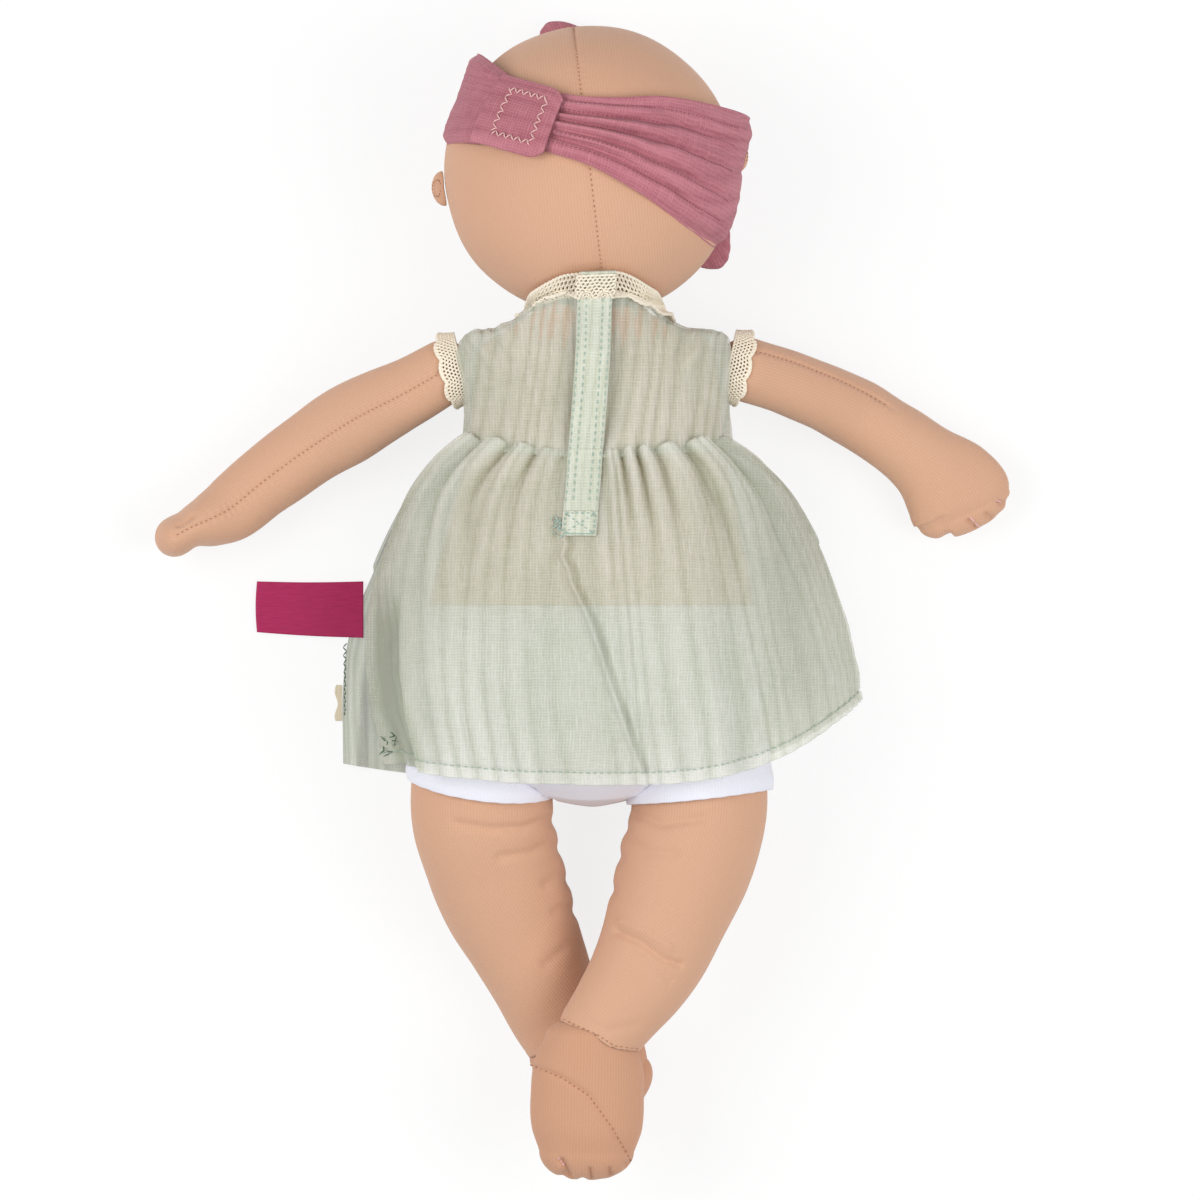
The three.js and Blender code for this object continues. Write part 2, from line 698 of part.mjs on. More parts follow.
for (const [side, way] of [['left', -1], ['right', 1]]) {
  const middle = headCentre.clone().addScaledVector(headRight, way * (headRadius + earOut - earThick));
  const half = [earThick, earRadius, earThick * 0.8];
  add(`ear_${side}`, solidOf(egg(middle, half, 12, 8)).subtract(headRoom), paint.skin);
}
const noseMiddle = headPoint(0, -mouthDrop / 2.6, -1).addScaledVector(up, -noseOut);
const noseHalf = [noseRadius, noseRadius * 0.85, noseRadius * 0.75];
add('nose', solidOf(egg(noseMiddle, noseHalf, 12, 8)).subtract(headRoom), paint.skin);
add('eye_left', faceArc(-eyeApart / 2, eyeDrop, eyeWidth, eyeWidth / 4), paint.thread);
add('eye_right', faceArc(eyeApart / 2, eyeDrop, eyeWidth, eyeWidth / 4), paint.thread);
add('mouth', faceArc(0, mouthDrop, mouthWidth, mouthWidth / 5), paint.mouth);

add('arm_left', limb(leftArm), paint.skin);
add('arm_right', limb(rightArm), paint.skin);
add('leg_left', without(solidOf(limb(leftLeg)), footRoom(leftFoot)), paint.skin);
add('leg_right', without(solidOf(limb(rightLeg)), footRoom(rightFoot)), paint.skin);
add('foot_left', limb(leftFoot), paint.skin);
add('foot_right', limb(rightFoot), paint.skin);

// Brief: jersey pants with a rib waistband, and a cuff that hugs each thigh.
const whole = 4 * torsoLength;
function slab(low, high) {
  const ring = (y) => [[-1, -1], [1, -1], [1, 1], [-1, 1]].map(([x, z]) => (
    new THREE.Vector3(whole * x, y, whole * z)
  ));
  return solidOf(loft(new THREE.Vector3(0, low, 0), [ring(low), ring(high)], new THREE.Vector3(0, high, 0)));
}

const bandBottom = briefTop - waistbandHeight;
const briefShell = solidOf(torsoForm(gap + jersey)).subtract(solidOf(torsoForm(gap)));
const legHoles = [leftLeg, rightLeg].map((leg) => solidOf(limb(leg, gap + jersey + gap)));
const brief = without(briefShell, [slab(bandBottom - gap, whole), ...legHoles]);
add('brief', brief, paint.white);
add('brief_waistband', cloth(
  (s, t) => overTorso(s * Math.PI * 2, bandBottom + t * waistbandHeight, gap), -jersey, torsoSides, 1, true,
), paint.white);

// A sleeve of cloth around a limb, between two distances from its root.
function cuff(sizes, from, height, around) {
  const bare = { ...sizes, rings: 1 };
  const place = (s, t) => onLimb(bare, (from + t * height) / sizes.length, s * Math.PI * 2, gap);
  return cloth(place, jersey, around, 2, true);
}
add('brief_cuff_left', cuff(leftLeg, cuffStart.left, cuffHeight, 16), paint.white);
add('brief_cuff_right', cuff(rightLeg, cuffStart.right, cuffHeight, 16), paint.white);

// Dress: the back of the bodice stands up at the nape and the front lies flat on the floor.
function easeAt(angle) {
  return gap + (ease - gap) * THREE.MathUtils.clamp((Math.sin(angle) + 0.6) / 1.6, 0, 1);
}

function bodicePoint(angle, y, out = 0) {
  const p = overTorso(angle, y, easeAt(angle) + out);
  const rise = THREE.MathUtils.smoothstep(y, neckline - napeRise, neckline)
    * Math.max(Math.sin(angle), 0) ** 2;
  return clearOfHead(p.addScaledVector(nape, rise), collarClear + out);
}

// The bodice's inner face at an angle, and a share of the way up from the waist.
function bodiceAt(angle, t) {
  return bodicePoint(angle, waist + (neckline - waist) * (1 - (1 - t) ** 1.7));
}

const seamAngle = 0.02;
const turnGap = 0.8;
const turnedHeads = [-neckTilt, 0, neckTilt].map((turn) => turned(solidOf(ball(turnGap)), neckPivot, turn));
const rooms = [...turnedHeads, ...armRoom(3 * gap + laceThick)];
function bodice(from, to, across, grow = 0) {
  const face = (s, t) => bodiceAt(from + (to - from) * s, t);
  const place = (s, t) => face(s, t).addScaledVector(normalAt(face, s, t), grow);
  return solidOf(cloth(place, -gauze - 2 * grow, across, 7));
}
add('bodice_back', without(bodice(seamAngle, Math.PI - seamAngle, 14), rooms), paint.sage);
add('bodice_front', without(bodice(Math.PI + seamAngle, 2 * Math.PI - seamAngle, 14), rooms), paint.sage);

// Skirt, from the waist seam to the hem. Rows: share of the way down, the left and the right side, the
// height of the side edge, the crown of the back, and how square its section is on the left and the right.
const sideHeight = torsoMiddle + 1;
const floorEdge = gauze + gap;
const crownAtWaist = bodicePoint(Math.PI / 2, waist).z;
const crownAtHips = crownAtWaist + skirtCrown;
const skirtRows = [
  [0, -47, 54.6, sideHeight, crownAtWaist, 2, 2, 0.5],
  [0.08, -56, 64.5, sideHeight * 0.66, crownAtWaist + 2, 2.5, 2.4, 0.62],
  [0.2, -66, 74.6, sideHeight * 0.3, crownAtWaist + 5.6, 3.4, 3, 0.8],
  [0.4, -75, 85, floorEdge, crownAtHips - 1.6, 4.8, 3.8, 0.95],
  [0.6, -78.6, 91.6, floorEdge, crownAtHips, 6.5, 4, 1],
  [0.8, -77, 96.5, floorEdge, crownAtHips - 2.6, 11, 4, 1],
  [1, -71.6, 99.4, floorEdge, hemCrown, 18, 4, 1],
];
const frontLeftRows = [[0, -47], [0.08, -56], [0.2, -66], [0.4, -77], [0.58, -85], [0.75, -87.5], [1, -87.5]];

const waistline = (e) => waist - gap - (waistDip * (1 + Math.cos(e * Math.PI))) / 2;
const hemline = (e) => skirtHem + (e < 0 ? hemLift.left : hemLift.right) * Math.abs(e) ** 2.6;

function skirtPlan(e, t, left, wide) {
  return [left + (wide * (e + 1)) / 2, waistline(e) * (1 - t) + hemline(e) * t];
}

function skirtBack(s, t) {
  const [left, rightSide, edge, crown, squareLeft, squareRight, power] = rowAt(skirtRows, t);
  const sigma = 2 * s - 1;
  const e = Math.sin((sigma * Math.PI) / 2);
  const [x, y] = skirtPlan(e, t, left, rightSide - left);
  const arch = Math.max(1 - Math.abs(e) ** (e < 0 ? squareLeft : squareRight), 0) ** power;
  const fold = foldDeep * t * Math.cos(sigma * Math.PI * foldCount) * Math.cos((sigma * Math.PI) / 2);
  const side = Math.max(edge, floorEdge);
  return new THREE.Vector3(x, y, side + (crown - side + fold) * arch);
}

function skirtFront(s, t) {
  const [, rightSide, edge] = rowAt(skirtRows, t);
  const [left] = rowAt(frontLeftRows, t);
  const e = Math.sin(((2 * s - 1) * Math.PI) / 2);
  const [x, y] = skirtPlan(e, t, left, rightSide - left);
  const belly = overTorso(-Math.PI / 2, y, gap + gap).z;
  const middle = THREE.MathUtils.lerp(belly, gauze, Math.min(t / 0.2, 1));
  const rise = 1 - Math.sqrt(Math.max(1 - Math.abs(e) ** (2 + 4 * Math.min(t / 0.4, 1)), 0));
  return new THREE.Vector3(x, y, middle + (Math.max(edge - 2 * gap, gauze) - middle) * rise);
}
add('skirt_back', cloth(skirtBack, -gauze, 40, 12), paint.sage);
add('skirt_front', cloth(skirtFront, gauze, 22, 10), paint.sage);

// The dress back's outer face at a place in plan, lifted a little, on the bodice or on the skirt.
function onBodice(x, y, out) {
  const middle = bodicePoint(Math.PI / 2, y);
  const half = bodicePoint(0, y).x - middle.x;
  const angle = Math.acos(THREE.MathUtils.clamp((x - middle.x) / half, -1, 1));
  return bodicePoint(angle, y, gauze + out);
}

function onSkirt(x, y, out) {
  let t = (waist - y) / (waist - skirtHem);
  let e = 0;
  for (let k = 0; k < 6; k += 1) {
    const [left, rightSide] = rowAt(skirtRows, t);
    e = THREE.MathUtils.clamp((2 * (x - left)) / (rightSide - left) - 1, -1, 1);
    t = THREE.MathUtils.clamp((waistline(e) - y) / (waistline(e) - hemline(e)), 0, 1);
  }
  const p = skirtBack((Math.asin(e) * 2) / Math.PI / 2 + 0.5, t);
  return new THREE.Vector3(x, y, p.z + gauze + out);
}

// Closure down the back: a strip that laps over the opening, with hook and loop tape under it,
// and a box-stitched end. It stands up past the neckline, against the back of the head.
const beyond = new THREE.Vector3(0, 0.76, 0.65);
function onPlacket(aside, y, out) {
  const share = (placketTop - y) / (placketTop - placketEnd);
  const x = THREE.MathUtils.lerp(placketTopAside, placketEndAside, share) + aside;
  const overLace = (laceThick + 3 * gap) * THREE.MathUtils.smoothstep(y, neckline - napeRise, neckline);
  if (y > neckline) {
    const p = onBodice(x, neckline, out).addScaledVector(beyond, y - neckline);
    p.z += overLace;
    return clearOfHead(p, collarClear + out);
  }
  const low = y < waist + 1 ? onSkirt(x, Math.min(y, waist), out) : onBodice(x, y, out);
  const high = onBodice(x, Math.max(y, waist), out);
  low.z = THREE.MathUtils.lerp(low.z, high.z, THREE.MathUtils.smoothstep(y, waist - 4, waist + 1)) + overLace;
  low.y = y < waist + 1 ? y : high.y;
  return low;
}

function strip(low, high, wide, out, thick, along) {
  const place = (s, t) => onPlacket((s - 0.5) * wide, high + (low - high) * t, out);
  return cloth(place, -thick, 2, along);
}
const tapeTop = neckline - napeRise;
const flapGap = 4 * gap + 2 * tape;
const flapTop = neckline + (placketTop - bodicePoint(Math.PI / 2, neckline).y) / beyond.y;
const flapEnd = placketEnd + placketBox;
const tapeEnd = tapeTop - tapeLength;
add('closure_loop_tape', strip(tapeEnd, tapeTop, closureTape, gap, tape, 4), paint.tape);
add('closure_hook_tape', strip(tapeEnd, tapeTop, closureTape, 2 * gap + tape, tape, 4), paint.tape);
add('placket_flap', strip(flapEnd, flapTop, placketWidth, flapGap, gauze, 18), paint.sage);
add('placket_box_end', strip(placketEnd, flapEnd - gap, placketWidth, gap, gauze, 3), paint.sage);

// Lace: a scalloped frill at the neck and one round each armhole.
function collar(s, t) {
  const angle = s * Math.PI * 2;
  const back = Math.max(Math.sin(angle), 0);
  const away = new THREE.Vector3(-0.35 * Math.cos(angle), 1, 0.85 * back ** 2).normalize();
  const low = 1 - collarOverlap * (1 - t) * neckSlope;
  const around = (share, along) => bodiceAt(share * Math.PI * 2, along);
  const p = around(s, low).addScaledVector(normalAt(around, s, low, true), -gauze - collarGap);
  return p.addScaledVector(away, (collarLace - collarOverlap) * t);
}
const collarRooms = [
  solidOf(ball(2 * gap)), bodice(0, Math.PI, 14, gap), bodice(Math.PI, 2 * Math.PI, 14, gap),
];
const collarWhole = solidOf(cloth(collar, -laceThick, collarSides, 3, true));
add('lace_collar', without(collarWhole, collarRooms), paint.cream);

function armLace(pivot, heading) {
  const out = new THREE.Vector3(Math.cos(rad(heading)), Math.sin(rad(heading)), 0);
  const along = new THREE.Vector3(-out.y, out.x, 0);
  const place = (s, t) => {
    const angle = s * Math.PI * 2;
    const scallop = scallopDeep * Math.abs(Math.sin((angle * armholeScallops) / 2));
    const radius = armRootRadius + 2 * gap + armholeFlare * t;
    return pivot.clone().addScaledVector(out, (armholeLace + scallop) * t - armholeInset)
      .addScaledVector(along, radius * Math.cos(angle))
      .addScaledVector(up, radius * Math.sin(angle) - armholeDrop * t);
  };
  return cloth(place, laceThick, 2 * armholeScallops, 2, true);
}
add('lace_armhole_left', armLace(leftShoulder, armholeHeading.left), paint.cream);
add('lace_armhole_right', armLace(rightShoulder, armholeHeading.right), paint.cream);

// Ribbon tag, sewn into the left side seam, and a small patch at the skirt's front edge.
const tagRoot = rowAt(skirtRows, 0.58)[0] - gauze - gap;
add('ribbon_tag', cloth((s, t) => (
  new THREE.Vector3(tagRoot - tagLength * s, tagTop - tagWidth * t, floorEdge)
), tagThick, 6, 2), paint.ribbon);
const patchEdge = rowAt(frontLeftRows, 1)[0] - gap;
add('skirt_patch', cloth((s, t) => (
  new THREE.Vector3(patchEdge - patchOut * s, patchTop - patchHeight * t, 0)
), tape, 1, 2), paint.cream);

// Headband: a strip round the head, closed at the back, in a ring that leans to the doll's right.
// Rows: place round the ring in degrees, the strip's two edges along the ring's axis, and how far
// each edge stands off the head.
const bandRows = [
  [closureStart - 360, 0.5, 24, tabGap, tabGap + 0.4],
  [-200, -3, 28, 1, 6],
  [-180, -5.9, 29, bandGap, 6.6],
  [-150, -4, 27, bandGap, 3],
  [-110, 3, 22, bandGap, bandGap],
  [-78, 8, 20, bandGap, bandGap],
  [-45, 0, 28, bandGap, 4],
  [0, -12.9, 34.5, 1, 14.8],
  [37, -10.8, 35, bandGap, 9],
  [67, -3.8, 32, bandGap, 3],
  [90, 0.7, 26, bandGap, 1],
  [closureEnd, 1.2, 22.4, bandGap, bandGap],
  [underEnd, 2.5, 21, bandGap, bandGap],
];
const bandAcross = new THREE.Vector3(Math.cos(rad(bandLean)), Math.sin(rad(bandLean)), 0);
const bandAxis = new THREE.Vector3(-bandAcross.y, bandAcross.x, 0);
const flatter = headDepth / headRadius;
const ballAt = (height) => Math.sqrt(Math.max(headRadius ** 2 - height ** 2, 0));

function onBand(degrees, height, radius) {
  return headCentre.clone().addScaledVector(bandAxis, height)
    .addScaledVector(bandAcross, radius * Math.cos(rad(degrees)))
    .addScaledVector(up, radius * flatter * Math.sin(rad(degrees)));
}

function bandPoint(degrees, t, out = 0) {
  const [low, high, standLow, standHigh] = rowAt(bandRows, degrees);
  const height = low + (high - low) * t;
  const straight = (ballAt(low) + standLow) * (1 - t) + (ballAt(high) + standHigh) * t;
  return onBand(degrees, height, Math.max(straight, ballAt(height) + bandGap) + out);
}
add('headband', cloth((s, t) => (
  bandPoint(bandRows[0][0] + (underEnd - bandRows[0][0]) * s, t)
), -gauze, 54, 4), paint.rose);

function closurePiece(from, to, [low, high], out, thick, across) {
  return cloth((s, t) => {
    const degrees = from + (to - from) * s;
    const middle = (low + high) / 2;
    const half = ((high - low) / 2) * (s > 0.9 && across > 4 ? 0.86 : 1);
    const height = middle + half * (2 * t - 1);
    return onBand(degrees, height, ballAt(height) + out);
  }, thick, across, 3);
}
const patchTurn = (closurePatch / headRadius) * (180 / Math.PI);
const patchEnd = patchFrom - patchTurn;
const loopPatchOut = bandGap + gauze + gap;
const hookPatchOut = tabGap - gap - tape;
add('band_loop_patch', closurePiece(patchFrom, patchEnd, patchReach, loopPatchOut, tape, 3), paint.tape);
add('band_hook_patch', closurePiece(patchFrom, patchEnd, patchReach, hookPatchOut, tape, 3), paint.tape);
add('headband_tab', closurePiece(tabStart, closureEnd, tabReach, tabGap, gauze, 9), paint.rose);

// Bow, tied at the front of the band and pressed flat under the head.
add('bow_knot', egg(knotPlace, [knotSize.x, knotSize.y, knotSize.z], 14, 8), paint.rose);
for (const { name, heading, reach } of bowLoops) {
  const ahead = new THREE.Vector3(Math.cos(rad(heading)), Math.sin(rad(heading)), 0);
  const aside = new THREE.Vector3(-ahead.y, ahead.x, 0);
  const place = (s, t) => {
    const angle = s * Math.PI * 2;
    const share = (1 - Math.cos(angle)) / 2;
    const high = loopHigh * (0.3 + 0.7 * share);
    const wide = loopNeck + (loopWidth - loopNeck) * share ** 0.7;
    const round = bowRound * share * (2 * t - 1) ** 2;
    const p = knotPlace.clone().addScaledVector(ahead, bowStart + (reach - bowStart) * share - round);
    p.addScaledVector(aside, (t - 0.5) * wide);
    p.z = loopFloor + (high / 2) * (1 + Math.sin(angle));
    return p;
  };
  add(name, cloth(place, gauze, 22, 3, true), paint.rose);
}

// The part's origin is under the middle of its bounding box.
const reachBox = new THREE.Box3().setFromObject(doll);
doll.position.set(
  -(reachBox.min.x + reachBox.max.x) / 2,
  -(reachBox.min.y + reachBox.max.y) / 2,
  -reachBox.min.z,
);

export default doll;
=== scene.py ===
"""A soft baby doll lying face down on a plain floor: stuffed jersey body, gauze dress, brief, headband with a bow."""

import math

import bpy
import numpy as np
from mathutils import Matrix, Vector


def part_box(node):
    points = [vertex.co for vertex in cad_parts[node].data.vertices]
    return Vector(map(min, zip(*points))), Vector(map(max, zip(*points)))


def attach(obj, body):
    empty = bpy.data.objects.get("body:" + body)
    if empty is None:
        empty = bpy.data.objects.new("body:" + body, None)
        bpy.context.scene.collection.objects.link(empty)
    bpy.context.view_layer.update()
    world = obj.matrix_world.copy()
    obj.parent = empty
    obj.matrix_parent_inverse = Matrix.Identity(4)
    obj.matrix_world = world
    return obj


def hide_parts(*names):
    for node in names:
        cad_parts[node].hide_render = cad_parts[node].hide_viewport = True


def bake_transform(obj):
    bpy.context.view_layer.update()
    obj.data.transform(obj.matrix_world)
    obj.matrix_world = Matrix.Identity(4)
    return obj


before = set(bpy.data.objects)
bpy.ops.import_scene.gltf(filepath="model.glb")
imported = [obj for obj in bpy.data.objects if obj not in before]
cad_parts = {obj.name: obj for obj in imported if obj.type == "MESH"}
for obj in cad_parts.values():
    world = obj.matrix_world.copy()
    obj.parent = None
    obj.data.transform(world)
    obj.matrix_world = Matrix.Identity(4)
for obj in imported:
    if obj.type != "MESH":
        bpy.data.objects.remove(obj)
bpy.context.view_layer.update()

# ---------------------------------------------------------------------------------------------
# Torso: a bag of cotton jersey, stuffed with wadding through the back seam and sewn shut.
# It is cut here as a ring of sections from the neck down to the crotch, in millimetres, and
# shows only through the gauze of the dress.
PLAN = np.array([0.718, -1.145, 0.0])  # from the drawing's origin to the frame's, mm
TORSO_TOP, TORSO_LONG, TORSO_FLOOR = 99.0, 167.0, 3.4
TORSO_ASIDE, TORSO_AXIS, TORSO_HALF, TORSO_BACK, TORSO_FRONT = 1.8, 41.0, 62.0, 42.0, 41.0
SHOULDER_LEAN, SHOULDER_LIFT = 2.6, 6.0
# Rows from the neck down: the share of the length, then the half width, the depth behind and in front,
# and how far the shoulders lean and lift, as shares of the sizes above.
TORSO_CUT = np.array([
    [0, 0.02, 0.03, 0.03, 1, 1], [0.004, 0.36, 0.42, 0.42, 1, 1], [0.014, 0.53, 0.55, 0.55, 1, 1],
    [0.03, 0.635, 0.63, 0.62, 1, 1], [0.06, 0.7, 0.69, 0.69, 1, 1], [0.12, 0.725, 0.74, 0.76, 1, 0.9],
    [0.2, 0.73, 0.76, 0.84, 0.95, 0.6], [0.28, 0.755, 0.79, 0.93, 0.85, 0.2], [0.42, 0.84, 0.87, 1, 0.6, 0],
    [0.6, 0.95, 0.98, 1, 0.2, 0], [0.78, 1, 1, 0.98, 0, 0], [0.88, 0.95, 0.95, 0.86, 0, 0],
    [0.95, 0.76, 0.78, 0.66, 0, 0], [0.985, 0.46, 0.5, 0.42, 0, 0], [1, 0.02, 0.03, 0.03, 0, 0],
])


def row_at(rows, key):
    """The columns of a table at each key, on a smooth curve through its rows."""
    rows = np.asarray(rows, float)
    key = np.asarray(key, float)
    k = np.clip(np.searchsorted(rows[:, 0], key, side="left") - 1, 0, len(rows) - 2)
    before, after = rows[np.maximum(k - 1, 0)], rows[np.minimum(k + 2, len(rows) - 1)]
    low, high = rows[k], rows[k + 1]
    span = high[..., :1] - low[..., :1]
    t = np.clip((key[..., None] - low[..., :1]) / span, 0, 1)
    start = (high - before) / (high[..., :1] - before[..., :1]) * span
    end = (after - low) / (after[..., :1] - low[..., :1]) * span
    made = (2 * t**3 - 3 * t**2 + 1) * low + (t**3 - 2 * t**2 + t) * start
    made = made + (3 * t**2 - 2 * t**3) * high + (t**3 - t**2) * end
    return [made[..., i] for i in range(1, rows.shape[1])]


def unit(v):
    return v / np.maximum(np.linalg.norm(v, axis=-1, keepdims=True), 1e-9)


def torso_point(angle, y):
    wide, back, front, lean, lift = row_at(TORSO_CUT, np.clip((TORSO_TOP - y) / TORSO_LONG, 0, 1))
    depth = np.where(np.sin(angle) > 0, TORSO_BACK * back, TORSO_FRONT * front)
    x = TORSO_ASIDE + SHOULDER_LEAN * lean + TORSO_HALF * wide * np.cos(angle)
    z = np.maximum(TORSO_AXIS + SHOULDER_LIFT * lift + depth * np.sin(angle), TORSO_FLOOR)
    return np.stack([x, y + 0 * x, z], -1)


def over_torso(angle, y, out):
    around = torso_point(angle + 0.02, y) - torso_point(angle - 0.02, y)
    along = torso_point(angle, y + 0.02) - torso_point(angle, y - 0.02)
    moved = torso_point(angle, y) + unit(np.cross(along, around)) * np.asarray(out)[..., None]
    moved[..., 2] = np.maximum(moved[..., 2], TORSO_FLOOR - out)
    return moved


def placed(name, data):
    made = bpy.data.objects.new(name, data)
    bpy.context.scene.collection.objects.link(made)
    return made


def linear(hexa):
    """An sRGB hex colour as Blender's linear RGBA."""
    channels = [int(hexa[k:k + 2], 16) / 255 for k in (1, 3, 5)]
    return (*[c / 12.92 if c <= 0.04045 else ((c + 0.055) / 1.055) ** 2.4 for c in channels], 1.0)


def add(tree, kind, inputs=(), out=0, **settings):
    """Adds a node with its settings and inputs, in order or by key, and gives back one of its outputs."""
    made = tree.nodes.new("ShaderNode" + kind)
    for key, value in settings.items():
        setattr(made, key, value)
    for key, value in inputs.items() if isinstance(inputs, dict) else enumerate(inputs):
        if isinstance(value, bpy.types.NodeSocket):
            tree.links.new(value, made.inputs[key])
        else:
            made.inputs[key].default_value = value
    return made.outputs[out]


def surface(name, roughness, specular=0.5, sheen=0.0, haze=0.5):
    """A new material with the constants of its shader, its node tree and the shader's inputs."""
    made = bpy.data.materials.new(name)
    made.use_nodes = True
    sockets = made.node_tree.nodes["Principled BSDF"].inputs
    sockets["Roughness"].default_value = roughness
    sockets["Specular IOR Level"].default_value = specular
    sockets["Sheen Weight"].default_value = sheen
    sockets["Sheen Roughness"].default_value = haze
    return made, made.node_tree, sockets


# Cotton jersey, weft knitted: fine wales run along the limb, and its brushed face is matt with a
# soft sheen at the edges. Real wales are 0.7 mm apart; they are drawn at 1.1 mm, so that they show.
WALE = 1.1
TURN = 2 * math.pi


def knit(name, light, dark, warm, slot="jersey_skin", shine=0.22):
    made, tree, sockets = surface(name, 0.92, 0.22, shine, 0.45)
    across, down = add(tree, "SeparateXYZ", [add(tree, "UVMap", uv_map="thread_ways")]).node.outputs[:2]
    place = add(tree, "TexCoord", out="Object")
    wobble = add(tree, "TexNoise", {"Vector": place, "Scale": 160.0, "Detail": 3.0})
    fuzz = add(tree, "TexNoise", {"Vector": place, "Scale": 1400.0, "Detail": 4.0})
    cloud = add(tree, "TexNoise", {"Vector": place, "Scale": 24.0, "Detail": 3.0})
    turn = add(tree, "Math", [across, TURN / WALE], operation="MULTIPLY")
    wale = add(tree, "Math", [add(tree, "Math", [wobble, 4.0, turn], operation="MULTIPLY_ADD")], operation="SINE")
    course = add(tree, "Math", [down, TURN / (WALE * 0.8)], operation="MULTIPLY")
    courses = add(tree, "Math", [course], operation="SINE")
    loops = add(tree, "Math", [courses, 0.35, wale], operation="MULTIPLY_ADD")
    shade = add(tree, "MapRange", [loops, -1.3, 1.3, 0.30, 0.70])
    blur = add(tree, "Math", [fuzz, 0.45, shade], operation="MULTIPLY_ADD")
    tone = add(tree, "MapRange", [blur, 0.3, 1.15, 0.0, 1.0])
    mix = add(tree, "Mix", {0: tone, 6: linear(dark), 7: linear(light)}, 2, data_type="RGBA")
    stain = add(tree, "MapRange", [cloud, 0.35, 0.75, 0.0, 0.35])
    both = add(tree, "Mix", {0: stain, 6: mix, 7: linear(warm)}, 2, data_type="RGBA")
    height = add(tree, "Math", [fuzz, 0.6, shade], operation="MULTIPLY_ADD")
    bump = add(tree, "Bump", {"Height": height, "Strength": 0.28, "Distance": 0.0005})
    tree.links.new(both, sockets["Base Color"])
    tree.links.new(bump, sockets["Normal"])
    return made, slot


skin_jersey = knit("skin_cotton_jersey_knitted", "#dcb194", "#cb9d80", "#d6a386")


def fasten(piece, finish, body, *nodes, bend=None):
    """Gives a piece its finish's material, puts it under an empty for its body and hides the CAD nodes that it stands
    for; the finish's slot is not used.
    A bend is another body and two places in mm, which are not used: a piece with a bend is only baked where it stands
    and gets no body."""
    piece.data.materials.append(finish[0])
    if bend is None:
        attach(piece, body)
    else:
        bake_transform(piece)
    if nodes:
        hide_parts(*nodes)
    return piece


def eased(node, body, kind, finish, voxel, rounds=3):
    """A piece over a CAD node's own room: its facets are remeshed fine and rubbed smooth."""
    made = placed(f"{node}_{kind}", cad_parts[node].data.copy())
    made.data.materials.clear()
    remesh = made.modifiers.new("fine", "REMESH")
    remesh.mode, remesh.voxel_size = "VOXEL", voxel * 0.001
    rub = made.modifiers.new("rub", "SMOOTH")
    rub.factor, rub.iterations = 0.5, rounds
    bpy.context.view_layer.objects.active = made
    for step in ("fine", "rub"):
        bpy.ops.object.modifier_apply(modifier=step)
    made.data.shade_smooth()
    return fasten(made, finish, body, node)


torso = eased("torso", "torso", "skin", skin_jersey, 2.0, 4)

# ---------------------------------------------------------------------------------------------
# Neck and head: the neck is a short stuffed stem, and the head a firm ball of two jersey halves
# that meet in a seam up the middle of the back. The head is turned a little to the doll's left.
neck = eased("neck", "neck", "skin", skin_jersey, 1.2, 4)
UP = np.array([0.0, 0.0, 1.0])


def towards(turn):
    return np.array([math.cos(turn), math.sin(turn), 0.0])


HEAD_R, HEAD_DEEP = 52.6, 50.0
HEAD_MIDDLE = np.array([1.8, 153.7, 56.0])
HEAD_RIGHT = towards(math.radians(6.6))
HEAD_UP = np.cross(UP, HEAD_RIGHT)


def grain(p, size, seed):
    """Smooth unevenness from -1 to 1 over places p, its lumps about size across."""
    rows = np.random.RandomState(seed).uniform(-1, 1, (64, 64))
    total = 0
    for a, b in ((0, 1), (1, 2), (2, 0)):
        x, y = p[..., a] / size + 17.3 * a, p[..., b] / size + 9.1 * b
        xi, yi = np.floor(x).astype(int), np.floor(y).astype(int)
        fx, fy = x - xi, y - yi
        fx, fy = fx * fx * (3 - 2 * fx), fy * fy * (3 - 2 * fy)
        low = rows[xi % 64, yi % 64] * (1 - fx) + rows[(xi + 1) % 64, yi % 64] * fx
        high = rows[xi % 64, (yi + 1) % 64] * (1 - fx) + rows[(xi + 1) % 64, (yi + 1) % 64] * fx
        total = total + low * (1 - fy) + high * fy
    return total / 1.7


def facing(p, ring, way):
    """The normals of a grid of places, around by along, on the side to which the ways point."""
    around = np.roll(p, -1, 0) - np.roll(p, 1, 0) if ring else np.gradient(p, axis=0)
    n = unit(np.cross(around, np.gradient(p, axis=1)))
    return n * np.sign(np.sum(n * way))


def ways_of(p, middle=0.0):
    """Across and along a ring of places in mm, along the cloth: across counts from the middle share."""
    steps = np.linalg.norm(np.roll(p, -1, 0) - p, axis=-1)
    across = np.concatenate([np.zeros((1, p.shape[1])), np.cumsum(steps, 0)])
    across = across - across[int(round(middle * (len(across) - 1)))]
    down = np.concatenate([[0], np.cumsum(np.linalg.norm(np.diff(p, axis=1), axis=-1).mean(0))])
    return across, np.broadcast_to(down, across.shape).copy()


def faces_of(*corners):
    """Faces as rows of corners, each a skin, a step around and a step along; the steps may be arrays."""
    return np.stack([np.stack(np.broadcast_arrays(*corner), -1).reshape(-1, 3) for corner in corners], 1)


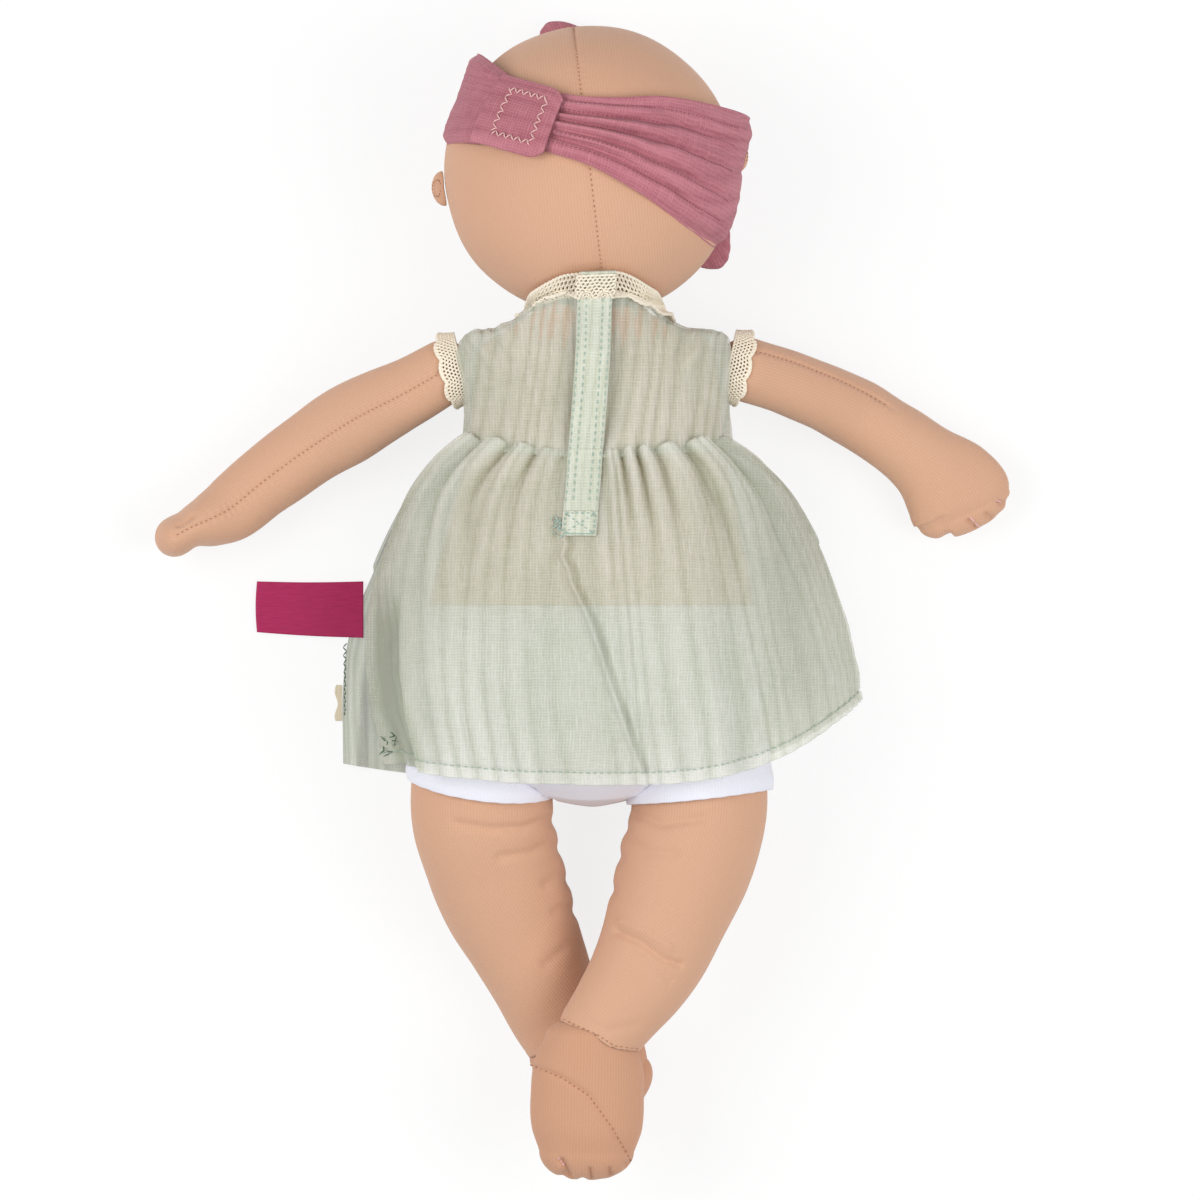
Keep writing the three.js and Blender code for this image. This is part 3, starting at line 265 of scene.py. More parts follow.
def object_of(name, skins, ring, cloth_uv=None, ribs=None):
    """An object over one closed skin, or over the two skins of a cloth, each a grid of places in mm."""
    n, m = skins[0].shape[:2]
    i, j = np.arange(n if ring else n - 1), np.arange(m - 1)
    a = i[:, None]
    faces = [faces_of((0, a, j), (0, a + 1, j), (0, a + 1, j + 1), (0, a, j + 1))]
    if len(skins) == 2:
        faces.append(faces_of((1, a, j + 1), (1, a + 1, j + 1), (1, a + 1, j), (1, a, j)))
        for one, two, end in ((i + 1, i, 0), (i, i + 1, m - 1)):
            faces.append(faces_of((0, one, end), (0, two, end), (1, two, end), (1, one, end)))
        for one, two, end in () if ring else ((j, j + 1, 0), (j + 1, j, n - 1)):
            faces.append(faces_of((0, end, one), (0, end, two), (1, end, two), (1, end, one)))
    faces = np.concatenate(faces)
    lengths, corners = np.full(len(faces), 4), faces.reshape(-1, 3)
    if len(skins) == 1:
        for way, end in ((np.arange(n)[::-1], 0), (np.arange(n), m - 1)):
            corners = np.concatenate([corners, faces_of((0, way, end))[:, 0]])
        lengths = np.append(lengths, [n, n])
    verts = np.concatenate([skin.reshape(-1, 3) for skin in skins]) + PLAN
    loops = corners[:, 0] * n * m + corners[:, 1] % n * m + corners[:, 2]
    a, b, c = (verts[loops[k:4 * len(faces):4]] for k in (0, 1, 2))
    starts = np.cumsum(lengths) - lengths
    if np.einsum("ij,ij->", a, np.cross(b, c)) < 0:
        order = np.repeat(2 * starts + lengths - 1, lengths) - np.arange(len(loops))
        loops, corners = loops[order], corners[order]
    mesh = bpy.data.meshes.new(name)
    mesh.vertices.add(len(verts))
    mesh.vertices.foreach_set("co", (verts * 0.001).ravel())
    mesh.loops.add(len(loops))
    mesh.loops.foreach_set("vertex_index", loops.astype(np.int32))
    mesh.polygons.add(len(lengths))
    mesh.polygons.foreach_set("loop_start", starts.astype(np.int32))
    mesh.update(calc_edges=True)
    mesh.validate()
    if cloth_uv is not None:
        layer = mesh.uv_layers.new(name="thread_ways")
        layer.data.foreach_set("uv", np.stack([way[corners[:, 1], corners[:, 2]] for way in cloth_uv], -1).ravel())
    # The rib attribute carries painted shade: the gauze material paints the cloth darker where it is low.
    if ribs is not None:
        layer = mesh.attributes.new("rib", "FLOAT", "POINT")
        layer.data.foreach_set("value", np.tile(ribs.ravel(), len(skins)).astype(np.float32))
    mesh.shade_smooth()
    return placed(name, mesh)


def piece_of(name, places, faces):
    mesh = bpy.data.meshes.new(name)
    mesh.from_pydata(((places + PLAN) * 0.001).tolist(), [], faces)
    mesh.shade_smooth()
    return placed(name, mesh)


def stitch_rows(name, start, end, rise, thick, finish, body):
    """Short threads, one from each place of start to the same of end, bedded in the cloth at both ends."""
    k, turn, q = np.linspace(0, 1, 5), np.arange(6) * math.pi / 3, np.arange(6)
    way = unit(end - start)
    side = unit(np.cross(rise, way))
    up = np.cross(way, side)
    arch = np.sin(math.pi * k)
    middle = start[:, None] + (end - start)[:, None] * k[None, :, None]
    middle = middle + up[:, None] * (thick * (0.75 * arch - 0.3))[None, :, None]
    half = (thick / 2 * (0.5 + 0.5 * arch))[None, :, None, None]
    ring = np.cos(turn)[:, None] * side[:, None, None] + np.sin(turn)[:, None] * up[:, None, None]
    places = (middle[:, :, None] + half * ring).reshape(-1, 3)
    sides = [np.stack([q, (q + 1) % 6, (q + 1) % 6 + 6, q + 6], -1) + 6 * r for r in range(4)]
    one = [*np.concatenate(sides), q[::-1], q + 24]
    faces = [tuple((face + 30 * s).tolist()) for s in range(len(start)) for face in one]
    return fasten(piece_of(name, places, faces), finish, body)


def paced(path, pitch, share=0.62):
    """Starts and ends of stitches at a pitch along a path of places, each a share of the pitch long."""
    path = np.asarray(path, float)
    run = np.concatenate([[0], np.cumsum(np.linalg.norm(np.diff(path, axis=0), axis=1))])
    at = np.arange(0, run[-1] - pitch * share, pitch)
    def place(d):
        return np.stack([np.interp(d, run, path[:, c]) for c in range(3)], -1)
    return place(at), place(at + pitch * share)


def yarn(name, hexa, gloss=0.55, depth=0.72, slot="thread"):
    """Spun polyester sewing thread: plied, so its gloss is broken by a fine twist; the twist's grooves are painted
    darker by depth, as painted shade.
    """
    made, tree, sockets = surface(name, gloss)
    place = add(tree, "TexCoord", out="Object")
    twist = add(tree, "TexNoise", {"Vector": place, "Scale": 2600.0, "Detail": 2.0})
    # Painted shade: depth sets how much darker the thread is painted in the twist's grooves.
    dark = tuple(c * depth for c in linear(hexa)[:3]) + (1.0,)
    mix = add(tree, "Mix", {0: twist, 6: dark, 7: linear(hexa)}, 2, data_type="RGBA")
    bump = add(tree, "Bump", {"Height": twist, "Strength": 0.4, "Distance": 0.0002})
    tree.links.new(mix, sockets["Base Color"])
    tree.links.new(bump, sockets["Normal"])
    return made, slot


seam_thread = yarn("seam_thread_spun_polyester", "#b98262")
pink_thread = yarn("pink_thread_spun_polyester", "#f3c3c0")


def seam_groove(p, n, across, down, deep=0.6):
    """Draws a skin in along the seam where across is 0, and puckers the cloth beside it."""
    across, down = across[:-1], down[:-1]
    p = p - n * (deep * np.exp(-across**2))[..., None]
    pucker = np.cos(TURN * down / 2.6) * np.exp(-((np.abs(across) - 1.6) / 1.3) ** 2)
    return p + n * (deep * 0.23 * pucker)[..., None]


# The head's skin runs from the crown down, and its seam at the back is halfway around.
turn = (np.arange(320) / 320 * TURN - math.pi / 2)[:, None]
lat = np.linspace(0.004, math.pi - 0.004, 200)[None, :]
p = (HEAD_MIDDLE + (HEAD_R * np.sin(lat) * np.cos(turn))[..., None] * HEAD_RIGHT
     + (HEAD_DEEP * np.sin(lat) * np.sin(turn))[..., None] * UP
     + (HEAD_R * np.cos(lat) + 0 * turn)[..., None] * HEAD_UP)
n = facing(p, True, p - HEAD_MIDDLE)
across, down = ways_of(p, 0.5)
p = p + n * (0.45 * grain(p, 16, 3) - 0.35)[..., None]
p = seam_groove(p, n, across, down, 0.55)
head = object_of("head_skin", [p], True, (across, down))
fasten(head, skin_jersey, "head", "head")
start, end = paced(p[160, 6:-6], 1.9)
stitch_rows("head_seam_thread", start, end, unit(start - HEAD_MIDDLE), 0.42, seam_thread, "head")


def grid(around, along, ring=False):
    """Shares around and along a cloth; a ring stops one step before it closes."""
    return np.meshgrid(np.linspace(0, 1, around, endpoint=not ring), np.linspace(0, 1, along), indexing="ij")


def on_face(aside, height):
    """The place on the head's lower side that lies aside and up from its middle by so many mm."""
    rest = np.maximum(1 - (aside**2 + height**2) / HEAD_R**2, 0)
    return (HEAD_MIDDLE + np.multiply.outer(aside, HEAD_RIGHT) + np.multiply.outer(height, HEAD_UP)
            - np.multiply.outer(HEAD_DEEP * np.sqrt(rest), UP))


# Ears and nose: little stuffed buds of the same jersey. A ring of stitches pulls each ear flat in
# the middle; the nose is gathered over a ball of wadding and sewn on.
for side, way in (("left", -1), ("right", 1)):
    ear = eased(f"ear_{side}", "head", "skin", skin_jersey, 0.35)
    middle = sum(np.array(c) * 1000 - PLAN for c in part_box(f"ear_{side}")) / 2
    turn = np.linspace(0, TURN, 15)[:-1]
    ring = middle + np.stack([way * (0.9 + 0 * turn), 3.1 * np.cos(turn), 3.0 + 0 * turn], -1)
    ring = ring + np.multiply.outer(1.6 * np.sin(turn), HEAD_RIGHT)
    end = ring + (np.roll(ring, -1, 0) - ring) * 0.7
    stitch_rows(f"ear_{side}_ring_thread", ring, end, UP, 0.34, seam_thread, "head")
nose = eased("nose", "head", "skin", skin_jersey, 0.35)

# Face: two sleeping eyes and a small smile, satin stitched by machine in cotton thread.
brown_floss = yarn("eye_floss_mercerised_cotton", "#7c5440", 0.4)
rose_floss = yarn("mouth_floss_mercerised_cotton", "#c9747a", 0.4, slot="mouth_thread")
for name, middle_aside, drop, wide, sag, finish in (
    ("eye_left", -16.5, 5.0, 9.5, 2.375, brown_floss),
    ("eye_right", 16.5, 5.0, 9.5, 2.375, brown_floss),
    ("mouth", 0.0, 22.0, 13.0, 2.6, rose_floss),
):
    s, t = grid(90, 9)
    along = (s - 0.5) * 2
    taper = np.sqrt(np.maximum(1 - along**4, 0.02))
    high = -drop + sag * (along**2 - 1) + (t - 0.5) * 1.8 * taper
    x = middle_aside + along * wide / 2
    under = on_face(x, high)
    out = unit(under - HEAD_MIDDLE)
    rib = 0.12 * np.cos(TURN * s * wide / 0.6) + 0.75 * np.sin(math.pi * t) ** 0.5
    made = object_of(f"{name}_satin_stitch", [under + out * (0.4 + rib)[..., None], under + out * 0.35], False)
    fasten(made, finish, "head", name)

# ---------------------------------------------------------------------------------------------
# Arms: two halves of jersey sewn along the middle, turned, stuffed firmly and closed at the
# shoulder. The hands are mittens of the same cloth; a few stitches through them mark the fingers.


def ease(x, low, high):
    t = np.clip((x - low) / (high - low), 0, 1)
    return t * t * (3 - 2 * t)


def limb_middle(limb, u):
    aside, drop = row_at(limb["shares"], u)[:2]
    ahead = towards(limb["heading"])
    left = np.cross(UP, ahead)
    p = limb["start"] + np.multiply.outer(u * limb["long"], ahead) + np.multiply.outer(aside * limb["long"], left)
    p[..., 2] += (limb["end_z"] - limb["start"][2]) * drop
    return p


def on_limb(limb, u, angle, grow, scale, push):
    _, _, wide, thick = row_at(limb["shares"], u)
    from_ = limb_middle(limb, np.maximum(u - 0.01, 0))
    ahead = unit(limb_middle(limb, np.minimum(u + 0.01, 1)) - from_)
    side = unit(np.cross(np.broadcast_to(UP, ahead.shape), ahead))
    rise = np.cross(ahead, side)
    half_wide = (limb["wide"] * wide / 2 + grow) * scale
    half_thick = (limb["thick"] * thick / 2 + grow) * scale
    p = limb_middle(limb, u) + ahead * push[..., None]
    p = p + side * (np.cos(angle) * half_wide)[..., None] + rise * (np.sin(angle) * half_thick)[..., None]
    p[..., 2] = np.maximum(p[..., 2], -grow)
    return p


def limb_grid(limb, around, along, dome=22, grow=0.0):
    """A limb's skin: around by along, with round ends; its first seam is at share 0.5 around."""
    ends = []
    for u, way in ((0.0, -1), (1.0, 1)):
        _, _, wide, thick = row_at(limb["shares"], u)
        blunt = limb.get("blunt", 1.0) if u == 0.0 else 1.0
        ends.append((min(limb["wide"] * wide, limb["thick"] * thick) / 2 * blunt + grow) * way)
    rise = np.linspace(0.01, math.pi / 2, dome, endpoint=False)
    u = np.concatenate([np.zeros(dome), np.linspace(0, 1, along), np.ones(dome)])
    scale = np.concatenate([np.sin(rise), np.ones(along), np.sin(rise)[::-1]])
    push = np.concatenate([ends[0] * np.cos(rise), np.zeros(along), ends[1] * np.cos(rise)[::-1]])
    angle = limb["seam"] + (np.arange(around) / around - 0.5) * TURN
    shape = (around, len(u))
    return on_limb(limb, np.broadcast_to(u, shape), np.broadcast_to(angle[:, None], shape), grow,
                   np.broadcast_to(scale, shape), np.broadcast_to(push, shape))


def beside(p, n, path, wide):
    """A share that is 1 on a line in plan and fades over a width beside it, where a skin faces up."""
    path = np.asarray(path, float)
    nearest = np.full(p.shape[:2], 1e9)
    for a, b in zip(path[:-1], path[1:]):
        ab = b - a
        t = np.clip(((p[..., :2] - a) @ ab) / (ab @ ab), 0, 1)
        nearest = np.minimum(nearest, np.linalg.norm(p[..., :2] - a - t[..., None] * ab, axis=-1))
    return np.exp(-(nearest / wide) ** 2) * ease(n[..., 2], 0.05, 0.35)


def press(p, n, path, wide, deep):
    """Draws a skin in along a line in plan, where it faces up; a negative depth swells it."""
    return p - n * (deep * beside(p, n, path, wide))[..., None]


def nip(p, places, pull, wide, deep, middle=None):
    """Pulls a skin's outline in at places in plan, along a unit way or towards a middle."""
    for place in np.asarray(places, float):
        way = np.asarray(pull, float) if middle is None else unit(np.asarray(middle, float) - place)
        share = np.exp(-(np.linalg.norm(p[..., :2] - place, axis=-1) / wide) ** 2)
        p = p + deep * share[..., None] * np.append(way, 0.0)
    return p


def sewn_on(name, p, n, path, pitch, thick, finish, body, share=0.62):
    """Stitches on a skin along a line in plan, where it faces up."""
    line = np.asarray(path, float)
    start, end = paced(np.column_stack([line, 0 * line[:, 0]]), pitch, share)
    flat_p, flat_n = p.reshape(-1, 3), n.reshape(-1, 3)
    up = flat_n[:, 2] > 0.08
    flat_p, flat_n = flat_p[up], flat_n[up]
    ends, rise = [], None
    for place in (start, end):
        near = np.argmin(np.linalg.norm(flat_p[None, :, :2] - place[:, None, :2], axis=-1), axis=1)
        ends.append(np.column_stack([place[:, :2], flat_p[near, 2]]))
        rise = flat_n[near]
    stitch_rows(name, ends[0], ends[1], rise, thick, finish, body)


def limb_skin(limb, around, along, lump, size, seed, sink):
    """A limb's skin with soft lumps, its normals, and the ways across and down its cloth."""
    p = limb_grid(limb, around, along)
    n = facing(p, True, p - p.mean((0, 1)))
    across, down = ways_of(p, 0.5)
    return p + n * (lump * grain(p, size, seed) - sink)[..., None], n, across, down


def limb_piece(name, p, ways):
    p[..., 2] = np.maximum(p[..., 2], 0.0)
    return object_of(f"{name}_skin", [p], True, ways)


def limb_seam(name, seam, normals, thick):
    start, end = paced(seam, 1.9)
    at, rows = np.linspace(0, 1, len(start)), np.linspace(0, 1, len(seam))
    rise = np.stack([np.interp(at, rows, normals[:, c]) for c in range(3)], -1)
    stitch_rows(f"{name}_seam_thread", start, end, unit(rise), thick, seam_thread, name)


# A limb starts at a place and runs by its heading, in mm and radians, to the height end_z. Rows of its
# shares: along it, then aside, down its drop, and its width and thickness.
ARM_THICK = 28.6
ARM_ROOT = ARM_THICK * 0.82 / 2
ARMS = {
    "left": dict(
        start=np.array([-51.0, 82.0, 42.0]), heading=math.radians(210.9), long=113.4, end_z=18.0,
        wide=ARM_THICK, thick=ARM_THICK, seam=math.pi / 2, shares=[
            [0, 0, 0, 0.82, 0.82], [0.12, -0.004, 0.28, 0.88, 0.88], [0.32, -0.016, 0.86, 1, 1],
            [0.5, -0.012, 1.12, 0.95, 0.95], [0.68, 0.004, 1.12, 0.88, 0.88], [0.8, 0.022, 1.08, 0.82, 0.92],
            [0.88, 0.018, 1.02, 0.68, 1.02], [0.94, 0.01, 1, 0.56, 1.08], [1, 0.008, 1, 0.53, 1.02],
        ]),
    "right": dict(
        start=np.array([58.5, 83.0, 42.0]), heading=math.radians(-35.5), long=92.8, end_z=14.2,
        wide=ARM_THICK, thick=ARM_THICK, seam=math.radians(48), shares=[
            [0, 0, 0, 0.82, 0.82], [0.16, 0.05, 0.36, 0.84, 0.84], [0.42, 0.105, 0.9, 0.9, 0.95],
            [0.62, 0.12, 1, 0.92, 0.92], [0.76, 0.114, 1.02, 1.0, 0.86], [0.88, 0.098, 1.06, 1.26, 0.8],
            [0.96, 0.074, 1.1, 1.34, 0.72], [1, 0.052, 1.14, 1.24, 0.6],
        ]),
}
# Where each hand's outline is nipped, the place that it is pulled to, how wide and how deep.
HAND_NOTCHES = {
    "left": ([(-145.6, 30.0), (-139.3, 16.6)], (-141.5, 23.0), 2.6, 1.3),
    "right": ([(130.6, 21.8), (145.2, 23.4), (151.4, 28.8), (155.0, 35.4)], (140.0, 38.0), 2.1, 2.6),
}
# Creases pressed into each hand: a line in plan, its width and its depth.
HAND_LINES = {
    "left": [([(-146.5, 27.5), (-141.5, 30.5)], 1.2, 1.6), ([(-140, 15.5), (-135, 18.5)], 1.6, 1.4)],
    "right": [
        ([(154.2, 33.5), (149.5, 35.4)], 0.9, 1.3), ([(150.0, 27.0), (145.0, 31.0)], 0.9, 1.3),
        ([(144.5, 22.5), (138.5, 28.5)], 0.9, 1.4), ([(130.2, 22.0), (128.0, 29.0)], 1.8, 0.5),
    ],
}
# Stitches between the fingers: the name's ending, where they start and end, and their pitch.
FINGER_THREADS = (("", (150.4, 35.4), (147.8, 36.4), 2.4), ("_long", (142.6, 26.2), (138.6, 30.4), 2.8))
for side, limb in ARMS.items():
    name = f"arm_{side}"
    p, n, across, down = limb_skin(limb, 168, 230, 0.5, 13, 5, 0.3)
    seen = 260 if side == "left" else 150
    p = seam_groove(p, n, across, down, 0.6 * (1 - ease(np.arange(p.shape[1]), seen - 20, seen + 10)))
    for line, wide, deep in HAND_LINES[side]:
        p = press(p, n, line, wide, deep)
    places, middle, wide, deep = HAND_NOTCHES[side]
    p = nip(p, places, None, wide, deep, middle)
    arm = fasten(limb_piece(name, p, (across, down)), skin_jersey, name, name)
    limb_seam(name, p[84, 16:seen][:-8], n[84, 16:seen][:-8], 0.38)
    if side == "right":
        for tag, start, end, pitch in FINGER_THREADS:
            sewn_on(f"hand_right_finger_thread{tag}", p, n, [start, end], pitch, 0.8, pink_thread, name, 1.0)

# ---------------------------------------------------------------------------------------------
# Legs and feet: bowed stuffed tubes with a seam down the outer side. Each foot is a bent bag with
# a seam round the sole, sewn to the ankle, and stitches through its end mark the toes.
LEG_LONG, THIGH = 104.0, 51.0
LEGS = {
    "left": dict(
        start=np.array([-37.0, -56.0, 43.0]), heading=math.radians(-73.1), long=LEG_LONG, end_z=16.8,
        wide=THIGH, thick=THIGH, seam=math.radians(205), shares=[
            [0, 0, 0, 0.98, 0.98], [0.2, -0.06, 0.2, 1.01, 0.98], [0.36, -0.068, 0.44, 0.98, 0.94],
            [0.52, -0.062, 0.66, 0.92, 0.88], [0.66, -0.048, 0.82, 0.82, 0.8], [0.8, -0.03, 0.93, 0.74, 0.72],
            [0.92, -0.02, 0.99, 0.66, 0.65], [1, -0.008, 1, 0.62, 0.62],
        ]),
    "right": dict(
        start=np.array([40.5, -56.0, 43.0]), heading=math.radians(-108.2), long=LEG_LONG, end_z=50.4,
        wide=THIGH, thick=THIGH, seam=math.radians(-25), shares=[
            [0, 0, 0, 0.96, 0.96], [0.2, 0.07, 0.02, 0.96, 0.96], [0.36, 0.074, 0.14, 0.96, 0.94],
            [0.52, 0.074, 0.36, 0.88, 0.86], [0.66, 0.066, 0.6, 0.8, 0.78], [0.8, 0.042, 0.84, 0.72, 0.7],
            [0.92, 0.008, 0.97, 0.65, 0.63], [1, -0.018, 1, 0.61, 0.6],
        ]),
}
# The feet take a darker copy of the skin jersey: painted shade.
foot_jersey_painted_shade = knit("foot_cotton_jersey_painted_shade", "#d3a486", "#c49275", "#ce977b")
FOOT_SHARES = [
    [0, 0, 0, 0.76, 0.98], [0.2, 0, 0.2, 0.94, 1], [0.5, 0, 0.5, 1, 0.98], [0.8, 0, 0.8, 0.98, 0.9],
    [1, 0, 1, 0.84, 0.74],
]
FOOT_LONG, FOOT_WIDE, FOOT_THICK = 41.5, 40.6, 30.0
FEET = {}
for side, heading, long, aside in (("left", -48.0, FOOT_LONG * 0.62, 0.0), ("right", -91.0, FOOT_LONG, 5.0)):
    heel = limb_middle(LEGS[side], np.array(1.0)) - np.array([aside, 2.0, 0.0])
    FEET[side] = dict(
        start=heel, heading=math.radians(heading), long=long, end_z=LEGS[side]["end_z"] - 2.0,
        wide=FOOT_WIDE, thick=FOOT_THICK, seam=math.radians(90), blunt=0.45, shares=FOOT_SHARES,
    )
# Creases pressed into each leg, and below into each foot: a line in plan, its width and its depth.
LEG_LINES = {
    "left": [
        ([(-12, -78), (-22, -81.5), (-34, -82), (-46, -80)], 1.7, 1.1),
        ([(-11, -86), (-19, -90.5), (-30, -92)], 1.8, 0.9), ([(-8.5, -98), (-14, -102)], 1.7, 0.9),
        ([(-6, -109), (-11, -112)], 1.6, 0.7), ([(-4, -122), (-14, -131)], 2.0, 0.6),
    ],
    "right": [
        ([(11.5, -118.5), (20, -122.5), (28, -128.5), (34, -130.5)], 1.5, 1.3),
        ([(13, -115), (22, -118.5), (30, -124)], 1.6, -0.8),
        ([(17, -126), (26, -131), (31, -136)], 1.5, 0.6),
        ([(16, -76), (27, -80), (42, -78)], 1.8, 1.1), ([(14.5, -85), (22, -90), (32, -91)], 1.8, 0.9),
        ([(-2, -150), (8, -154), (18, -152)], 1.8, 0.4),
    ],
}
# Where the inner outline of each leg is nipped, and the way in which it is pulled.
LEG_NOTCHES = {
    "left": ([(-11.0, -79.5), (-8.5, -89.5), (-5.6, -101), (-3, -112)], (-1, 0)),
    "right": ([(13.5, -82), (11.5, -92), (8.8, -104)], (1, 0)),
}
SOLE_SEAM = [(-19.8, -166.5), (-8.3, -170.8), (1.4, -177.3), (9.7, -188.8), (16.9, -201.8)]
FOOT_LINES = {
    "left": [],
    "right": [
        (SOLE_SEAM, 1.0, 0.7), ([(-8.5, -201), (-5.0, -208)], 1.1, 1.9), ([(1.8, -204), (2.6, -210)], 0.8, 1.3),
        ([(8.8, -204), (9.8, -210)], 0.8, 1.3), ([(14.8, -202), (16.6, -208)], 0.8, 1.2),
    ],
}
for side, limb in LEGS.items():
    name, foot_name = f"leg_{side}", f"foot_{side}"
    p, n, across, down = limb_skin(limb, 200, 190, 0.6, 17, 8, 0.35)
    p = seam_groove(p, n, across, down)
    for line, wide, deep in LEG_LINES[side]:
        p = press(p, n, line, wide, deep)
    places, way = LEG_NOTCHES[side]
    p = nip(p, places, way, 2.6, 1.1)
    leg = limb_piece(name, p, (across, down))
    heel = object_of("heel_room", [limb_grid(FEET[side], 48, 24, 8, 0.3)], True)
    cut = leg.modifiers.new("ankle", "BOOLEAN")
    cut.operation, cut.object, cut.solver = "DIFFERENCE", heel, "EXACT"
    bpy.context.view_layer.objects.active = leg
    bpy.ops.object.modifier_apply(modifier="ankle")
    bpy.data.objects.remove(heel)
    fasten(leg, skin_jersey, name, name)
    limb_seam(name, p[100, 30:-24], n[100, 30:-24], 0.42)
    if side == "right":
        ankle = [(-8.0, -150.0), (4, -155.2), (10.6, -159.4), (19.6, -160.8)]
        sewn_on("ankle_right_thread", p, n, ankle, 1.9, 0.38, seam_thread, name)

    limb = FEET[side]
    p, n, across, down = limb_skin(limb, 150, 110, 0.5, 12, 11, 0.3)
    for line, wide, deep in FOOT_LINES[side]:
        p = press(p, n, line, wide, deep)
    if side == "right":
        p = nip(p, [(-7.6, -206), (-0.9, -209), (6.0, -210), (12.0, -208.5)], (0, 1), 1.5, 1.5)
    foot = limb_piece(foot_name, p, (across, down))
    way = towards(limb["heading"])
    fasten(foot, foot_jersey_painted_shade, name, foot_name, bend=(foot_name, limb["start"] - 5 * way, limb["start"] + 9 * way))
    if side == "right":
        sewn_on("foot_right_sole_thread", p, n, SOLE_SEAM, 1.9, 0.42, seam_thread, foot_name)
        knot = [(-9.6, -199.6), (-7.0, -202.4), (-9.4, -201.4)]
        sewn_on("foot_right_toe_knot", p, n, knot, 1.3, 0.6, pink_thread, foot_name, 1.0)

# ---------------------------------------------------------------------------------------------
# Brief: white cotton jersey cut like a nappy cover, with a folded waistband and a cuff that hugs
# each thigh. It is pulled on over the torso and shows below the hem and through the gauze.
white_jersey = knit("brief_cotton_jersey_knitted", "#f2f2fa", "#e4e4f0", "#ececf6", "jersey_white", 0.15)


def places_of(piece):
    """The places of a piece's vertices in mm."""
    places = np.empty(len(piece.data.vertices) * 3)
    piece.data.vertices.foreach_get("co", places)
    return places.reshape(-1, 3) * 1000 - PLAN


def move_to(piece, places):
    piece.data.vertices.foreach_set("co", ((places + PLAN) * 0.001).ravel())


def lumps(a, b, seed):
    return grain(np.stack(np.broadcast_arrays(a, b, 0.0), -1), 1.0, seed)


MIDDLE_X, CROTCH_DROP = 2.0, 4.6
brief = eased("brief", "torso", "cloth", white_jersey, 0.8)
places = places_of(brief)
between = np.exp(-(((places[:, 0] - MIDDLE_X) / 24) ** 2))
places[:, 1] -= CROTCH_DROP * ease(-places[:, 1], 44, 66) * between
move_to(brief, places)

BRIEF_TOP = -2.0
s, t = grid(240, 24, True)
angle, y = s * TURN, BRIEF_TOP - 8.6 * t
band = over_torso(angle, y, 1.6 + 0.35 * np.sin(math.pi * t) + 0.2 * np.sin(angle * 70) * np.sin(math.pi * t))
inner = over_torso(angle, y, 0.5 + 0 * y)
band[..., 2], inner[..., 2] = np.maximum(band[..., 2], 1.7), np.maximum(inner[..., 2], 2.9)
waistband = object_of("brief_waistband_cloth", [band, inner], True, ways_of(band))
fasten(waistband, white_jersey, "torso", "brief_waistband")

# Each leg of the brief covers the top of the thigh and is cut higher at the hip than between the legs.
for side, reach, inward in (("left", 12.0, 1), ("right", 17.0, -1)):
    limb = LEGS[side]
    s, t = grid(160, 60, True)
    angle = s * TURN
    rise = np.minimum(0.35 + t * 2.2, math.pi / 2)
    end = reach - 5.0 * (1 - inward * np.cos(angle)) / 2 + 0.06 * np.sin(angle * 26)
    u = np.maximum(t - 0.554, 0) / 0.446 * end / limb["long"]
    radius = limb["wide"] * limb["shares"][0][3] / 2
    hug = 1.75 + 0.7 * np.exp(-(((1 - t) * 12 - 1.4) / 1.5) ** 2) + 0.25 * lumps(s * 24, t * 3, 19)
    shell = [on_limb(limb, u, angle, grow, np.sin(rise), -radius * np.cos(rise)) for grow in (hug, 0.6 + 0 * hug)]
    shell[0][..., 2], shell[1][..., 2] = np.maximum(shell[0][..., 2], 0.1), np.maximum(shell[1][..., 2], 0.9)
    cuff = object_of(f"brief_cuff_{side}_cloth", shell, True, ways_of(shell[0]))
    fasten(cuff, white_jersey, f"leg_{side}", f"brief_cuff_{side}")

# ---------------------------------------------------------------------------------------------
# Dress: two layers of cotton gauze woven together at points, so that the cloth crinkles in long
# uneven ribs. The bodice is cut in a back and a front piece, sewn up at the sides and shoulders.
GAUZE = 1.4


